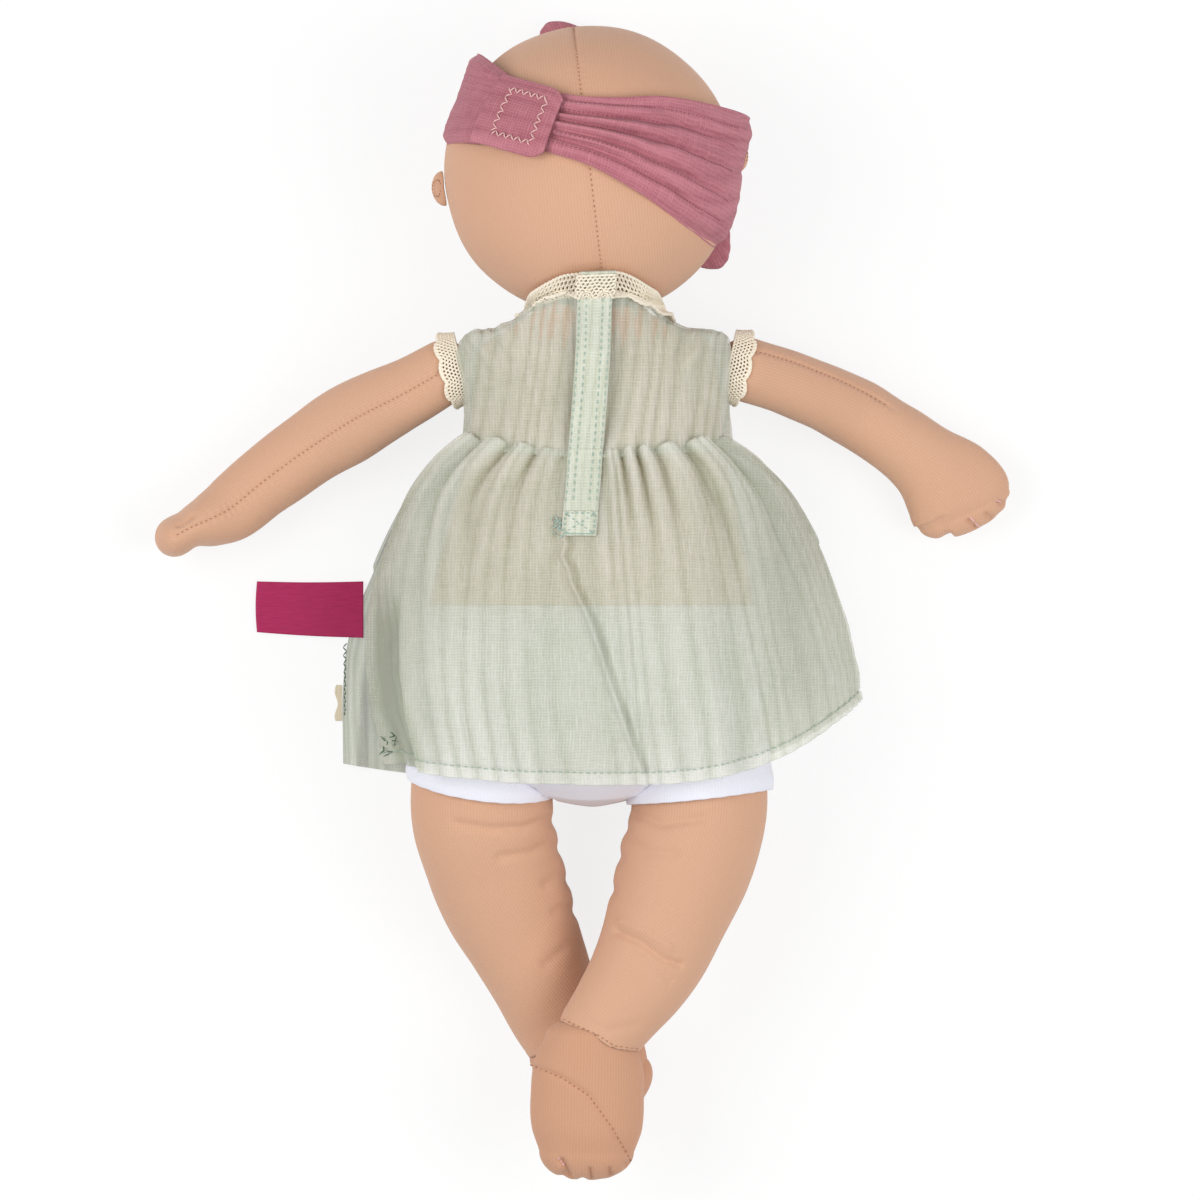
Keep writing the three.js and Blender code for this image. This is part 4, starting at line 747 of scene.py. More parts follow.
def gauze(name, light, dark, clear, slot="gauze_sage"):
    """Double gauze, woven open: pale threads with small painted shadows between. From the mesh's rib attribute the
    ribs are painted lighter and the furrows, valleys and creases darker, the deepest places darker still: painted
    shade.
    """
    made, tree, sockets = surface(name, 0.95, 0.15, 0.12)
    sockets["Alpha"].default_value = clear
    ways = add(tree, "UVMap", uv_map="thread_ways")
    split = add(tree, "SeparateXYZ", [ways]).node.outputs
    place = add(tree, "TexCoord", out="Object")
    rib = add(tree, "Attribute", out="Fac", attribute_name="rib")
    wobble = add(tree, "TexNoise", {"Vector": place, "Scale": 90.0, "Detail": 3.0})
    threads = []
    for axis, pitch, drawn, strong in ((0, 1.1, (1.1, 0.13, 1), 3.6), (1, 1.0, (0.13, 1.1, 1), 2.0)):
        turn = add(tree, "Math", [split[axis], TURN / pitch], operation="MULTIPLY")
        bent = add(tree, "Math", [wobble, 14.0, turn], operation="MULTIPLY_ADD")
        even = add(tree, "Math", [bent], operation="SINE")
        long_way = add(tree, "Mapping", {0: ways, "Scale": drawn})
        slub = add(tree, "TexNoise", {"Vector": long_way, "Scale": 1.0, "Detail": 3.0})
        uneven = add(tree, "Math", [slub, strong, -strong / 2], operation="MULTIPLY_ADD")
        threads.append(add(tree, "Math", [even, 0.6, uneven], operation="MULTIPLY_ADD"))
    weave = add(tree, "Math", threads, operation="MAXIMUM")
    fluff = add(tree, "TexNoise", {"Vector": place, "Scale": 700.0, "Detail": 4.0})
    cloud = add(tree, "TexNoise", {"Vector": place, "Scale": 34.0, "Detail": 3.0})
    shade = add(tree, "MapRange", [weave, -0.7, 1.1, 0.05, 0.72])
    tone = add(tree, "Math", [fluff, 0.4, shade], operation="MULTIPLY_ADD")
    drift = add(tree, "Math", [cloud, 0.4, tone], operation="MULTIPLY_ADD")
    # Painted shade: the rib attribute makes the colour lighter on ribs and darker in furrows.
    painted_rib_shade = add(tree, "Math", [rib, 0.7, drift], operation="MULTIPLY_ADD")
    share = add(tree, "MapRange", [painted_rib_shade, 0.16, 1.3, 0.0, 1.0])
    mix = add(tree, "Mix", {0: share, 6: linear(dark), 7: linear(light)}, 2, data_type="RGBA")
    # Painted shade: where the rib attribute falls far below zero, in the skirt's tuck and valleys and on the front
    # panel, the colour is darkened further.
    deep = add(tree, "MapRange", [rib, -2.0, -0.6, 0.66, 1.0])
    bump = add(tree, "Bump", {"Height": tone, "Strength": 0.4, "Distance": 0.0006})
    tree.links.new(add(tree, "VectorMath", {0: mix, "Scale": deep}, operation="SCALE"), sockets["Base Color"])
    tree.links.new(bump, sockets["Normal"])
    return made, slot


sage_gauze = gauze("sage_cotton_double_gauze_woven", "#f9f9ef", "#bfc6ad", 0.47)
WAIST, NECKLINE, NAPE_RISE = 55.0, 98.2, 11.0
NAPE = np.array([0.0, 10.0, 18.0])
SHOULDER_DROP, SHOULDER_SINK, WIDER_LEFT, WIDER_RIGHT = 8.5, 2.8, 4.4, 2.2
HEAD_HALF = np.array([HEAD_R, HEAD_R, HEAD_DEEP])


def clear_of_head(p, margin):
    from_ = p - HEAD_MIDDLE
    share = np.linalg.norm(from_ / (HEAD_HALF + margin), axis=-1, keepdims=True)
    return np.where(share < 1, HEAD_MIDDLE + from_ / np.maximum(share, 1e-6), p)


def bodice_point(angle, y, out=0.0):
    """The bodice over the torso: its shoulders stay wide almost up to the neckline."""
    give = 0.35 + 1.65 * np.clip((np.sin(angle) + 0.6) / 1.6, 0, 1)
    share = np.maximum(NECKLINE - y, 0) / (NECKLINE - WAIST)
    drop = SHOULDER_DROP * (1 - np.exp(-share / 0.011)) * np.exp(-share / 0.35)
    drop = drop * ease(np.abs(np.cos(angle)), 0.45, 0.92)
    p = over_torso(angle, y - drop, give + out)
    p[..., 1] += drop
    widening = np.where(np.cos(angle) < 0, -WIDER_LEFT, WIDER_RIGHT)
    p[..., 0] += widening * ease(np.abs(np.cos(angle)), 0.6, 1) * np.exp(-((y - 88) / 12) ** 2)
    rise = ease(y, NECKLINE - NAPE_RISE, NECKLINE) * ease(np.sin(angle), 0, 0.5)
    aside = np.abs(p[..., 0] - MIDDLE_X)
    p[..., 1] -= SHOULDER_SINK * ease(aside, 14, 34) * ease(y, 84, 97)
    rise = rise * (1 - ease(aside, 8, 36))
    return clear_of_head(p + rise[..., None] * NAPE, 1.0 + out)


def crinkle(across, down, pitch, seed):
    """The ribs of double gauze: long, uneven and wavering, from 0 in a furrow to 1 on a rib."""
    a, b = across / 11, down / 95
    phase = across / pitch + 1.3 * lumps(a, b, seed) + 0.16 * lumps(a * 3.1, b * 3.1, seed + 1)
    return np.abs(np.sin(math.pi * phase)) ** 0.85 * (0.62 + 0.38 * lumps(across / 12, down / 34, seed + 2))


def arm_hole(p, side):
    """How far inside the room that an arm and its lace keep free a place is, in mm."""
    way, off = towards(ARMS[side]["heading"]), p - ARMS[side]["start"]
    along = np.maximum(off @ way, 0)
    return ARM_ROOT + 2.6 - np.linalg.norm(off - along[..., None] * way, axis=-1)


def waist_line(e):
    """How far down the waist seam lies at a share e of the way from the middle to a side."""
    return WAIST - 0.35 - 2.4 * (1 + np.cos(e * math.pi)) / 2


for name, from_, sign in (("bodice_back", 0.0, 1), ("bodice_front", math.pi, -1)):
    s, t = grid(300, 170)
    angle = from_ + 0.004 + (math.pi - 0.008) * s
    low = waist_line(np.cos(angle)) - (1.3 if sign > 0 else 0.0)
    y = low + (NECKLINE - low) * (1 - (1 - t) ** 1.7)
    p = bodice_point(angle, y, GAUZE)
    n = facing(p, False, sign * UP)
    rib = crinkle(-p[..., 0] + 0.12 * p[..., 1], 100 - p[..., 1], 5.2, 21)
    fine = crinkle(-p[..., 0], 100 - p[..., 1], 2.3, 25)
    roll = np.exp(-((y - low - 0.8) / 0.8) ** 2)
    high = (1.35 * rib + 0.3 * fine - 0.75) * (1 if sign > 0 else 0.2) + 0.45 * roll
    aside = np.abs(p[..., 0] - MIDDLE_X)
    puff = np.exp(-((aside - 35) / 8) ** 2) * np.exp(-((y - 90) / 8) ** 2)
    puff = puff * np.maximum(np.sin((aside - 0.4 * y) / 1.5), -0.3)
    p = p + n * (high + (1.5 * puff if sign > 0 else 0))[..., None]
    for side in ("left", "right"):
        inside = np.maximum(arm_hole(p, side), 0)
        away = unit(p - ARMS[side]["start"] + np.array([0, 0, 1e-3]))
        p = p + away * inside[..., None]
    p[..., 2] = np.maximum(p[..., 2], 0.9)
    inner = p - n * 0.9
    inner[..., 2] = np.maximum(inner[..., 2], 0.1)
    # Painted shade: the rib attribute darkens the bodice's furrows in its colour.
    made = object_of(f"{name}_gauze", [p, inner], False, (p[..., 0], p[..., 1]), rib - 0.45)
    fasten(made, sage_gauze, "torso", name)

# The stuffing fills the bodice up to the shoulders, between the arms.
places = places_of(torso)
wide, back, front, lean, lift = row_at(TORSO_CUT, np.clip((TORSO_TOP - places[:, 1]) / TORSO_LONG, 0.004, 1))
angle = np.arctan2((places[:, 2] - TORSO_AXIS - SHOULDER_LIFT * lift) / (TORSO_BACK * back),
                   (places[:, 0] - TORSO_ASIDE - SHOULDER_LEAN * lean) / (TORSO_HALF * wide))
full = bodice_point(angle, np.minimum(places[:, 1], NECKLINE - 0.3), -0.6)
inside = 1 - ease(np.abs(full[:, 0] - MIDDLE_X), 30, 40) * ease(places[:, 1], 62, 70)
share = ease(places[:, 1], 46, 56) * inside * ease(np.sin(angle), 0, 0.3)
move_to(torso, places + (full - places) * share[:, None])

# ---------------------------------------------------------------------------------------------
# Skirt: a wide panel behind and one in front, gathered into the waist seam and left to drape over
# the hips to the floor, with a turned and topstitched hem. A seam runs down the back's middle.
FLOOR_EDGE, HEM_MIDDLE, HEM_AT = GAUZE + 0.35, 65.6, 0.962
CROWN = float(bodice_point(np.array(math.pi / 2), np.array(WAIST))[2])
# Rows down the skirt's back: the share of its length, its left and right edge, their height, the
# crown's height, how square its arch is on the left and the right, and the arch's power.
SKIRT_CUT = [
    [0, -47, 54.6, 42, CROWN, 2, 2, 0.5], [0.08, -56, 64.5, 42 * 0.66, CROWN + 2, 2.5, 2.4, 0.62],
    [0.2, -66, 74.6, 42 * 0.3, CROWN + 5.6, 3.4, 3, 0.8], [0.4, -75, 85, FLOOR_EDGE, CROWN + 8.8, 4.8, 3.8, 0.95],
    [0.6, -78.6, 91.6, FLOOR_EDGE, CROWN + 10.4, 6.5, 4, 1], [0.8, -77, 96.5, FLOOR_EDGE, CROWN + 7.8, 11, 4, 1],
    [1, -71.6, 99.4, FLOOR_EDGE, 80, 18, 4, 1],
]
# Rows down the skirt's front: the share of its length, and its left edge.
FRONT_CUT = [[0, -47], [0.08, -56], [0.2, -66], [0.4, -77], [0.58, -85], [0.75, -87.5], [1, -87.5]]
# Where the cloth is pinched between two gathers, across the waist, and how far each gather stands
# out and how far down it runs, as a share of the skirt.
PINCHES = [-47, -37.8, -27.7, -18, -8, 6, 13.3, 18.4, 25.2, 35.3, 46.8, 54.6]
GATHERS = [(3.6, 0.4), (3.6, 0.3), (2.6, 0.2), (1.6, 0.12), (0.5, 0.1), (2.0, 0.14), (3.0, 0.2), (3.0, 0.2),
           (3.2, 0.22), (3.6, 0.3), (2.6, 0.34)]


def skirt_plan(e, t, left, wide):
    hem_y = -HEM_MIDDLE + np.where(e < 0, 6.6, 29.6) * np.abs(e) ** 2.6
    return left + wide * (e + 1) / 2, waist_line(e) * (1 - t) + hem_y * t


def skirt_back(s, t):
    left, right, edge, crown, square_l, square_r, power = row_at(SKIRT_CUT, t)
    sigma = 2 * s - 1
    e = np.sin(sigma * math.pi / 2)
    x, y = skirt_plan(e, t, left, right - left)
    arch = np.maximum(1 - np.abs(e) ** np.where(e < 0, square_l, square_r), 0) ** power
    fold = 2.2 * t * np.cos(sigma * math.pi * 8) * np.cos(sigma * math.pi / 2)
    side = np.maximum(edge, FLOOR_EDGE)
    p = np.stack([x, y, side + (crown - side + fold) * arch], -1)
    seam = bodice_point((1 - s) * math.pi, waist_line(e), -0.5)
    share = np.exp(-((t / 0.035) ** 2))[..., None]
    return p * (1 - share) + seam * share


def gathered(s, t):
    """The gathers' height at places on the skirt's back, and how much of a valley between two each is."""
    left, right = SKIRT_CUT[0][1:3]
    waist_x = left + (right - left) * (np.sin((2 * s - 1) * math.pi / 2) + 1) / 2
    phase = np.interp(waist_x, PINCHES, np.arange(len(PINCHES)))
    drift = 0.22 * lumps(waist_x / 16, t * 6, 47) * np.minimum(t / 0.08, 1)
    phase = np.clip(phase + drift, 0, len(PINCHES) - 1.001)
    which = np.floor(phase).astype(int)
    tall, long = (np.array([g[k] for g in GATHERS])[which] for k in (0, 1))
    fade = np.exp(-((t / long) ** 1.3))
    valley = np.abs(np.cos(math.pi * (phase - which))) ** 7 * np.minimum(tall / 2.4, 1) * fade
    return tall * np.sin(math.pi * (phase - which)) ** 0.65 * fade, valley


s, t = grid(520, 300)
p = skirt_back(s, t)
n = facing(p, False, UP)
p = p + n * GAUZE
flare = (2 * s - 1) * 84
rib = crinkle(flare + 1.2 * grain(p, 50, 41), t * 120, 5.6, 31)
fine = crinkle(flare, t * 120, 2.5, 35)
puffs, valley = gathered(s, t)
long_fold = 1.3 * lumps(flare / 13, t * 1.4, 51) * ease(np.abs(flare), 20, 60) * ease(t, 0.05, 0.3)
across_fold = np.maximum(1.1 * lumps(p[..., 0] / 36, p[..., 1] / 8, 55), -0.1) * ease(t, 0.45, 0.7)
hem = 0.45 * ease(t, HEM_AT, HEM_AT + 0.006) - 0.4 * np.exp(-((t - HEM_AT) / 0.005) ** 2)
wave = 0.5 * lumps(flare / 5, 0 * t, 57) * ease(t, 0.93, 1)
start_in = np.minimum(t / 0.01, 1)
tuck = ease(-flare, 54, 58) * (1 - ease(-flare, 70, 80)) * ease(t, 0.36, 0.6)
high = start_in * (1.15 * rib + 0.3 * fine - 0.7 + 1.45 * puffs - 1.2 * valley)
p = p + n * (high + long_fold + across_fold + hem + wave - 5.5 * tuck)[..., None]
# The seam down the skirt's back runs askew.
SEAM_LINE = [(-7.92, 24.3), (-6.84, 19.98), (-8.28, 16.02), (-5.76, 10.98), (-4.68, 5.94), (-2.16, 0.9),
             (1.8, -7.74), (5.4, -18.54), (9.72, -32.22), (14.76, -46.62), (19.44, -60.3)]
BESIDE_SEAM = [(x + 2.2, y) for x, y in SEAM_LINE]
p = press(p, n, SEAM_LINE, 1.2, -1.7)
p = press(p, n, [(x - 2.2, y) for x, y in SEAM_LINE], 1.1, 0.8)
p = press(p, n, BESIDE_SEAM, 1.0, 1.0)
# Painted shade, carried by the rib attribute: the groove beside the seam, the valleys between gathers and the tuck at
# the left are darker; the turned hem is a little lighter.
shade = 0.6 * beside(p, n, BESIDE_SEAM, 1.1) + 0.8 * valley + 1.25 * tuck - 0.2 * ease(t, HEM_AT, HEM_AT + 0.006)
p[..., 2] = np.maximum(p[..., 2], 0.6)
# The rib attribute also paints the low sides of the gathers near the waist darker: painted shade.
skirt_b = object_of("skirt_back_gauze", [p, p - n * 1.0], False, (p[..., 0], p[..., 1]),
                    rib - 0.45 + 0.2 * (puffs - 1) * np.exp(-t / 0.12) - shade)
fasten(skirt_b, sage_gauze, "torso", "skirt_back")
skirt_p, skirt_n = p, n

sage_thread = yarn("sage_thread_spun_polyester", "#b4c9b8")
hem_row = int(round(HEM_AT * 299))
start, end = paced(skirt_p[6:-6, hem_row] + 0.25 * skirt_n[6:-6, hem_row], 2.6)
stitch_rows("skirt_hem_thread", start, end, UP, 0.5, sage_thread, "torso")


def skirt_front(s, t):
    right, edge = row_at(SKIRT_CUT, t)[1:3]
    left = row_at(FRONT_CUT, t)[0]
    e = np.sin((2 * s - 1) * math.pi / 2)
    x, y = skirt_plan(e, t, left, right - left)
    belly = over_torso(np.full_like(y, -math.pi / 2), y, 0.7)[..., 2]
    middle = belly + (GAUZE - belly) * np.minimum(t / 0.2, 1)
    rise = 1 - np.sqrt(np.maximum(1 - np.abs(e) ** (2 + 4 * np.minimum(t / 0.4, 1)), 0))
    return np.stack([x, y, middle + (np.maximum(edge - 0.7, GAUZE) - middle) * rise], -1)


s, t = grid(260, 180)
p = skirt_front(s, t)
n = facing(p, False, UP)
rib = crinkle((2 * s - 1) * 90, t * 120, 5.2, 61)
top = p + n * (0.35 * rib - 0.3)[..., None]
side_fold = np.exp(-((p[..., 0] + 82.5 - 3.5 * (1 - t)) / 2.6) ** 2) * ease(t, 0.66, 0.8)
top[..., 2] += 4.2 * side_fold
under = top - n * 1.1
under[..., 2] = np.maximum(under[..., 2], 0.05)
top[..., 2] = np.maximum(top[..., 2], under[..., 2] + 0.8)
# Painted shade: a rib attribute far below zero paints the whole front panel darker, where it shows beside the back
# panel's edge.
skirt_f = object_of("skirt_front_gauze", [top, under], False, (p[..., 0], p[..., 1]), rib - 1.5)
skirt_front_top, skirt_front_n = top, n
fasten(skirt_f, sage_gauze, "torso", "skirt_front")

# ---------------------------------------------------------------------------------------------
# Back closure: a double strip of gauze laps over the opening and holds by a hook and a loop tape;
# below the opening it is sewn down in a box. Its top stands up past the neckline at the nape.


def on_bodice(x, y, out):
    angle = np.full_like(y, math.pi / 2)
    for _ in range(5):
        p = bodice_point(angle, y, GAUZE + out)
        angle = angle + (p[..., 0] - x) / 45
    return bodice_point(angle, y, GAUZE + out)


def on_skirt(x, y, out):
    t = (WAIST - y) / (WAIST + HEM_MIDDLE)
    for _ in range(6):
        left, right = row_at(SKIRT_CUT, t)[:2]
        e = np.clip(2 * (x - left) / (right - left) - 1, -1, 1)
        _, waist_y = skirt_plan(e, np.zeros_like(t), 0, 0)
        _, hem_y = skirt_plan(e, np.ones_like(t), 0, 0)
        t = np.clip((waist_y - y) / (waist_y - hem_y), 0, 1)
    p = skirt_back(np.arcsin(e) * 2 / math.pi / 2 + 0.5, t)
    return np.stack([x, y, p[..., 2] + GAUZE + out], -1)


# The strip runs askew from its top to its lower end, and stands past the neckline at the nape.
STRIP_TOP, STRIP_END, STRIP_WIDE, STRIP_THICK = (5.4, 119.0), (-2.2, 23.0), 12.6, GAUZE * 0.8
BEYOND = np.array([0.0, 0.76, 0.65])


def on_placket(aside, y, out):
    x = STRIP_TOP[0] + (STRIP_END[0] - STRIP_TOP[0]) * (STRIP_TOP[1] - y) / (STRIP_TOP[1] - STRIP_END[1]) + aside
    over_lace = 2.15 * ease(y, NECKLINE - NAPE_RISE, NECKLINE)
    top = on_bodice(x, np.full_like(y, NECKLINE), out) + (y - NECKLINE)[..., None] * BEYOND
    top[..., 2] += over_lace
    top = clear_of_head(top, 1.0 + out)
    low = np.where((y < WAIST + 1)[..., None], on_skirt(x, np.minimum(y, WAIST), out), on_bodice(x, y, out))
    high = on_bodice(x, np.maximum(y, WAIST), out)
    share = ease(y, WAIST - 4, WAIST + 1)
    low[..., 2] = low[..., 2] * (1 - share) + high[..., 2] * share + over_lace
    low[..., 1] = y * (1 - share) + high[..., 1] * share
    return np.where((y > NECKLINE)[..., None], top, low)


TAPE_TOP = NECKLINE - NAPE_RISE


def strip(name, low, high, wide, out, thick, along, finish, body, node, seed, rib, sunk=0.0):
    s, t = grid(30, along)
    y = high + (low - high) * t
    p = on_placket((s - 0.5) * wide, y, out)
    p[..., 2] -= sunk * (1 - ease(y, WAIST - 2, TAPE_TOP - 24))
    n = facing(p, False, UP)
    length = float(np.linalg.norm(np.diff(p[15], axis=0), axis=1).sum())
    edge = 1 - np.exp(-np.minimum(s, 1 - s) * wide / 0.5) * (0.85 if sunk or rib > 0.4 else 0.5)
    ribs = crinkle(s * wide, t * length, 4.0, seed)
    top = p + n * (thick * edge - 0.35 + rib * ribs)[..., None]
    # Painted shade: the rib attribute darkens the strip's furrows in its colour.
    made = object_of(name, [top, p - n * 0.02], False, (p[..., 0], p[..., 1]), ribs - 0.45)
    fasten(made, finish, body, node)
    return top


pile_tape = gauze("hook_and_loop_nylon_tape_woven", "#e2e4d8", "#cdd0c0", 1.0, "hook_and_loop")
for name, piece, out, body, seed in (
    ("closure_loop_tape_pile", "closure_loop_tape", 0.35, "torso", 71),
    ("closure_hook_tape_hooks", "closure_hook_tape", 1.5, "placket", 72),
):
    strip(name, TAPE_TOP - 24, TAPE_TOP, 8, out, 0.8, 60, pile_tape, body, piece, seed, 0.0)
plain_gauze = gauze("sage_cotton_gauze_folded_strip", "#e3e5d7", "#bcc2ac", 0.97)
NAPE_Y = float(bodice_point(np.array(math.pi / 2), np.array(NECKLINE))[1])
FLAP_TOP = NECKLINE + (STRIP_TOP[1] - NAPE_Y) / BEYOND[1]
flap = strip("placket_flap_gauze", 31.8, FLAP_TOP, STRIP_WIDE, 3.0, STRIP_THICK, 200, plain_gauze, "placket",
             "placket_flap", 73, 0.5, 2.2)
box = strip("placket_box_end_gauze", STRIP_END[1], 31.65, STRIP_WIDE, 0.6, STRIP_THICK, 40, plain_gauze, "torso",
            "placket_box_end", 74, 0.5)
mint_thread = yarn("mint_thread_spun_polyester", "#b4cdc2")
for tag, row in (("left", 2), ("left_inner", 8), ("right_inner", 21), ("right", 27)):
    start, end = paced(flap[row, 4:-4], 2.8)
    stitch_rows(f"placket_{tag}_thread", start + UP * 0.05, end + UP * 0.05, UP, 0.42, mint_thread, "placket")
corners = [box[2, 3], box[27, 3], box[27, 36], box[2, 36], box[2, 3], box[27, 36], box[2, 36], box[27, 3]]
start, end = paced(corners, 1.9, 0.7)
stitch_rows("placket_box_thread", start + UP * 0.3, end + UP * 0.3, UP, 0.5, mint_thread, "torso")
# Where the strip is sewn down, the thread ends in a tangle; another one closes the hem beside the left seam.
dark_thread = yarn("green_thread_spun_polyester", "#5f7a66")
toss = np.random.RandomState(7)
for name, middle, spread, many, finish in (
    ("placket_knot_thread", (-9.6, 26.6), 2.6, 22, mint_thread),
    ("hem_knot_thread", (-70.2, -52.0), 2.8, 16, dark_thread),
):
    start = np.array(middle) + toss.uniform(-1, 1, (many, 2)) * (spread, spread * 1.3)
    end = start + toss.uniform(-2.4, 2.4, (many, 2))
    near = [np.argmin(np.linalg.norm(skirt_p[..., :2].reshape(-1, 2) - q, axis=1)) for q in start]
    height = skirt_p.reshape(-1, 3)[near, 2] + 0.5
    start, end = np.column_stack([start, height]), np.column_stack([end, height + 0.2])
    stitch_rows(name, start, end, UP, 0.5, finish, "torso")

# ---------------------------------------------------------------------------------------------
# Lace: cotton crochet edging, a net of fine loops with a scalloped border, sewn round the neck
# and round each armhole. Its threads are modelled, so that the skin shows between them.
cream_yarn = yarn("cream_crochet_cotton_yarn", "#fdf3e0", 0.85, 0.9, "crochet_cream")


def net(name, place, repeats, rows, thick, scallops, body, *nodes, closed=True, bend=None):
    """A crochet net over place(s, t): rows of round loops that pass through each other, and a corded edge."""
    turn, ring, step = np.arange(12) / 12 * TURN, np.arange(5) / 5 * TURN, 1.0 / repeats
    q, r = (g.ravel() for g in np.meshgrid(np.arange(repeats), np.arange(rows), indexing="ij"))
    loop_s = ((q + 0.5 * (r % 2)) * step)[:, None] + 0.56 * step * np.cos(turn)
    loop_t = np.clip((r[:, None] + 0.5 + 0.6 * np.sin(turn)) / (rows + 0.6), 0, 1)
    cord = np.arange(scallops * 24) / (scallops * 24)
    if not closed:
        cord = 1 - np.abs(1 - 2 * cord)
    paths = [(loop_s, loop_t, thick)]
    for t, more in ((0.015, 1.2), (0.955, 1.15), (1.0, 1.35)):
        paths.append((cord[None], np.full((1, len(cord)), t), thick * more))
    verts, faces, at = [], [], 0
    for s, t, wide in paths:
        p = place(s, t)
        many = p.shape[1]
        ahead = unit(np.roll(p, -1, 1) - np.roll(p, 1, 1))
        out = unit(np.cross(place(s + 1e-3, t) - place(s - 1e-3, t), place(s, t + 1e-2) - place(s, t - 1e-2)))
        side = unit(np.cross(out, ahead))
        p = p + out * (0.2 * wide * np.cos(3 * TURN * np.arange(many) / 12))[None, :, None]
        around = np.cos(ring)[:, None] * side[:, :, None] + np.sin(ring)[:, None] * out[:, :, None]
        verts.append((p[:, :, None] + wide / 2 * around).reshape(-1, 3))
        k, i, j = (g.ravel() for g in np.meshgrid(np.arange(len(p)), np.arange(many), np.arange(5), indexing="ij"))
        here, there = (at + (k * many + step_on % many) * 5 for step_on in (i, i + 1))
        faces.append(np.stack([here + j, here + (j + 1) % 5, there + (j + 1) % 5, there + j], -1))
        at += p.size // 3 * 5
    made = piece_of(name, np.concatenate(verts), np.concatenate(faces).tolist())
    return fasten(made, cream_yarn, body, *nodes, bend=bend)


def down_bodice(angle, far, out):
    """The place on the bodice that lies far mm down it from the neckline."""
    drops = np.linspace(0, 12, 31)
    path = bodice_point(angle[..., None] + 0 * drops, NECKLINE - drops + 0 * angle[..., None], out)
    run = np.cumsum(np.linalg.norm(np.diff(path, axis=-2), axis=-1), -1)
    run = np.concatenate([0 * run[..., :1], run], -1)
    k = np.clip((run <= far[..., None]).sum(-1) - 1, 0, 29)[..., None]
    before, after = np.take_along_axis(run, k, -1), np.take_along_axis(run, k + 1, -1)
    share = (far[..., None] - before) / np.maximum(after - before, 1e-6)
    low, high = (np.take_along_axis(path, k[..., None] + step, -2)[..., 0, :] for step in (0, 1))
    return low + (high - low) * np.clip(share, 0, 1)


def collar_place(s, t):
    """The collar round the neckline: its scalloped edge lies on the bodice, the other stands to the head."""
    s, t = np.broadcast_arrays(np.asarray(s, float), np.asarray(t, float))
    angle = s * TURN
    back = np.maximum(np.sin(angle), 0)
    scallop = np.abs(np.sin(angle * 20 / 2)) ** 0.8
    above = 1.8 + 7.8 * back**0.6
    below = 0.2 + 4.2 * back**0.5 + (0.4 + 1.4 * back) * scallop
    far = t * (above + below) - above
    away = unit(np.stack([-0.25 * np.cos(angle), 1 + 0 * angle, 0.5 * back], -1))
    p = down_bodice(angle, np.maximum(far, 0), GAUZE + 1.3) + away * np.maximum(-far, 0)[..., None]
    pushed = clear_of_head(p, 1.5)
    near = ((p[..., 0] - HEAD_MIDDLE[0]) ** 2 + (p[..., 1] - HEAD_MIDDLE[1]) ** 2) / (HEAD_R + 1.5) ** 2
    over = np.where(near < 1, HEAD_MIDDLE[2] + (HEAD_DEEP + 1.5) * np.sqrt(np.maximum(1 - near, 0)), 0)
    lifted = np.stack([p[..., 0], p[..., 1], np.maximum(p[..., 2], over)], -1)
    share = ease(back, 0.1, 0.4)[..., None]
    return clear_of_head(pushed * (1 - share) + lifted * share, 1.4)


net("lace_collar_crochet", collar_place, 104, 7, 0.94, 18, "torso", "lace_collar",
    bend=("neck", (0, 99, 80), (0, 112, 80)))


def placket_lace_place(s, t):
    """The stretch of lace that is sewn over the strip's top end, and lifts with it."""
    s, t = np.broadcast_arrays(np.asarray(s, float), np.asarray(t, float))
    high = FLAP_TOP - 1.6 - (10.6 + 1.6 * np.abs(np.sin(TURN * s))) * t
    return on_placket((s - 0.5) * 13.2, high, 3.0 + STRIP_THICK + 0.2)


net("placket_lace_crochet", placket_lace_place, 8, 7, 0.7, 4, "placket", closed=False)


def armhole_place(start, out):
    along = np.cross(UP, out)
    def place(s, t):
        s, t = np.broadcast_arrays(np.asarray(s, float), np.asarray(t, float))
        angle = s * TURN
        scallop = np.abs(np.sin(angle * 10 / 2)) ** 0.8
        radius = ARM_ROOT + 0.8 + 1.1 * t
        reach = (6.6 + 1.2 * scallop) * (1 - 0.25 * ease(np.abs(np.cos(angle)), 0.7, 1))
        return (start + (reach * t - 7.0)[..., None] * out + (radius * np.cos(angle))[..., None] * along
                + (radius * np.sin(angle) - 1.6 * t)[..., None] * UP)
    return place


for side, heading in (("left", 194.0), ("right", -13.0)):
    start, way = ARMS[side]["start"], towards(math.radians(heading))
    net(f"lace_armhole_{side}_crochet", armhole_place(start, way), 58, 6, 0.76, 10,
        "torso", f"lace_armhole_{side}", bend=(f"arm_{side}", start - 6 * way, start + 1 * way))

# ---------------------------------------------------------------------------------------------
# Ribbon tag: a bare fold of magenta satin ribbon, sewn into the left side seam. Beside it a small
# cream patch is zigzagged to the skirt's front edge.
satin, tree, sockets = surface("magenta_polyester_satin_ribbon_woven", 0.42, 0.3)
place = add(tree, "TexCoord", out="Object")
stretch = add(tree, "Mapping", {"Vector": place, "Scale": (260.0, 2600.0, 260.0)})
floats = add(tree, "TexNoise", {"Vector": stretch, "Scale": 1.0, "Detail": 2.0})
mix = add(tree, "Mix", {0: floats, 6: linear("#9a164b"), 7: linear("#ba2863")}, 2, data_type="RGBA")
bump = add(tree, "Bump", {"Height": floats, "Strength": 0.2, "Distance": 0.0002})
tree.links.new(mix, sockets["Base Color"])
tree.links.new(bump, sockets["Normal"])

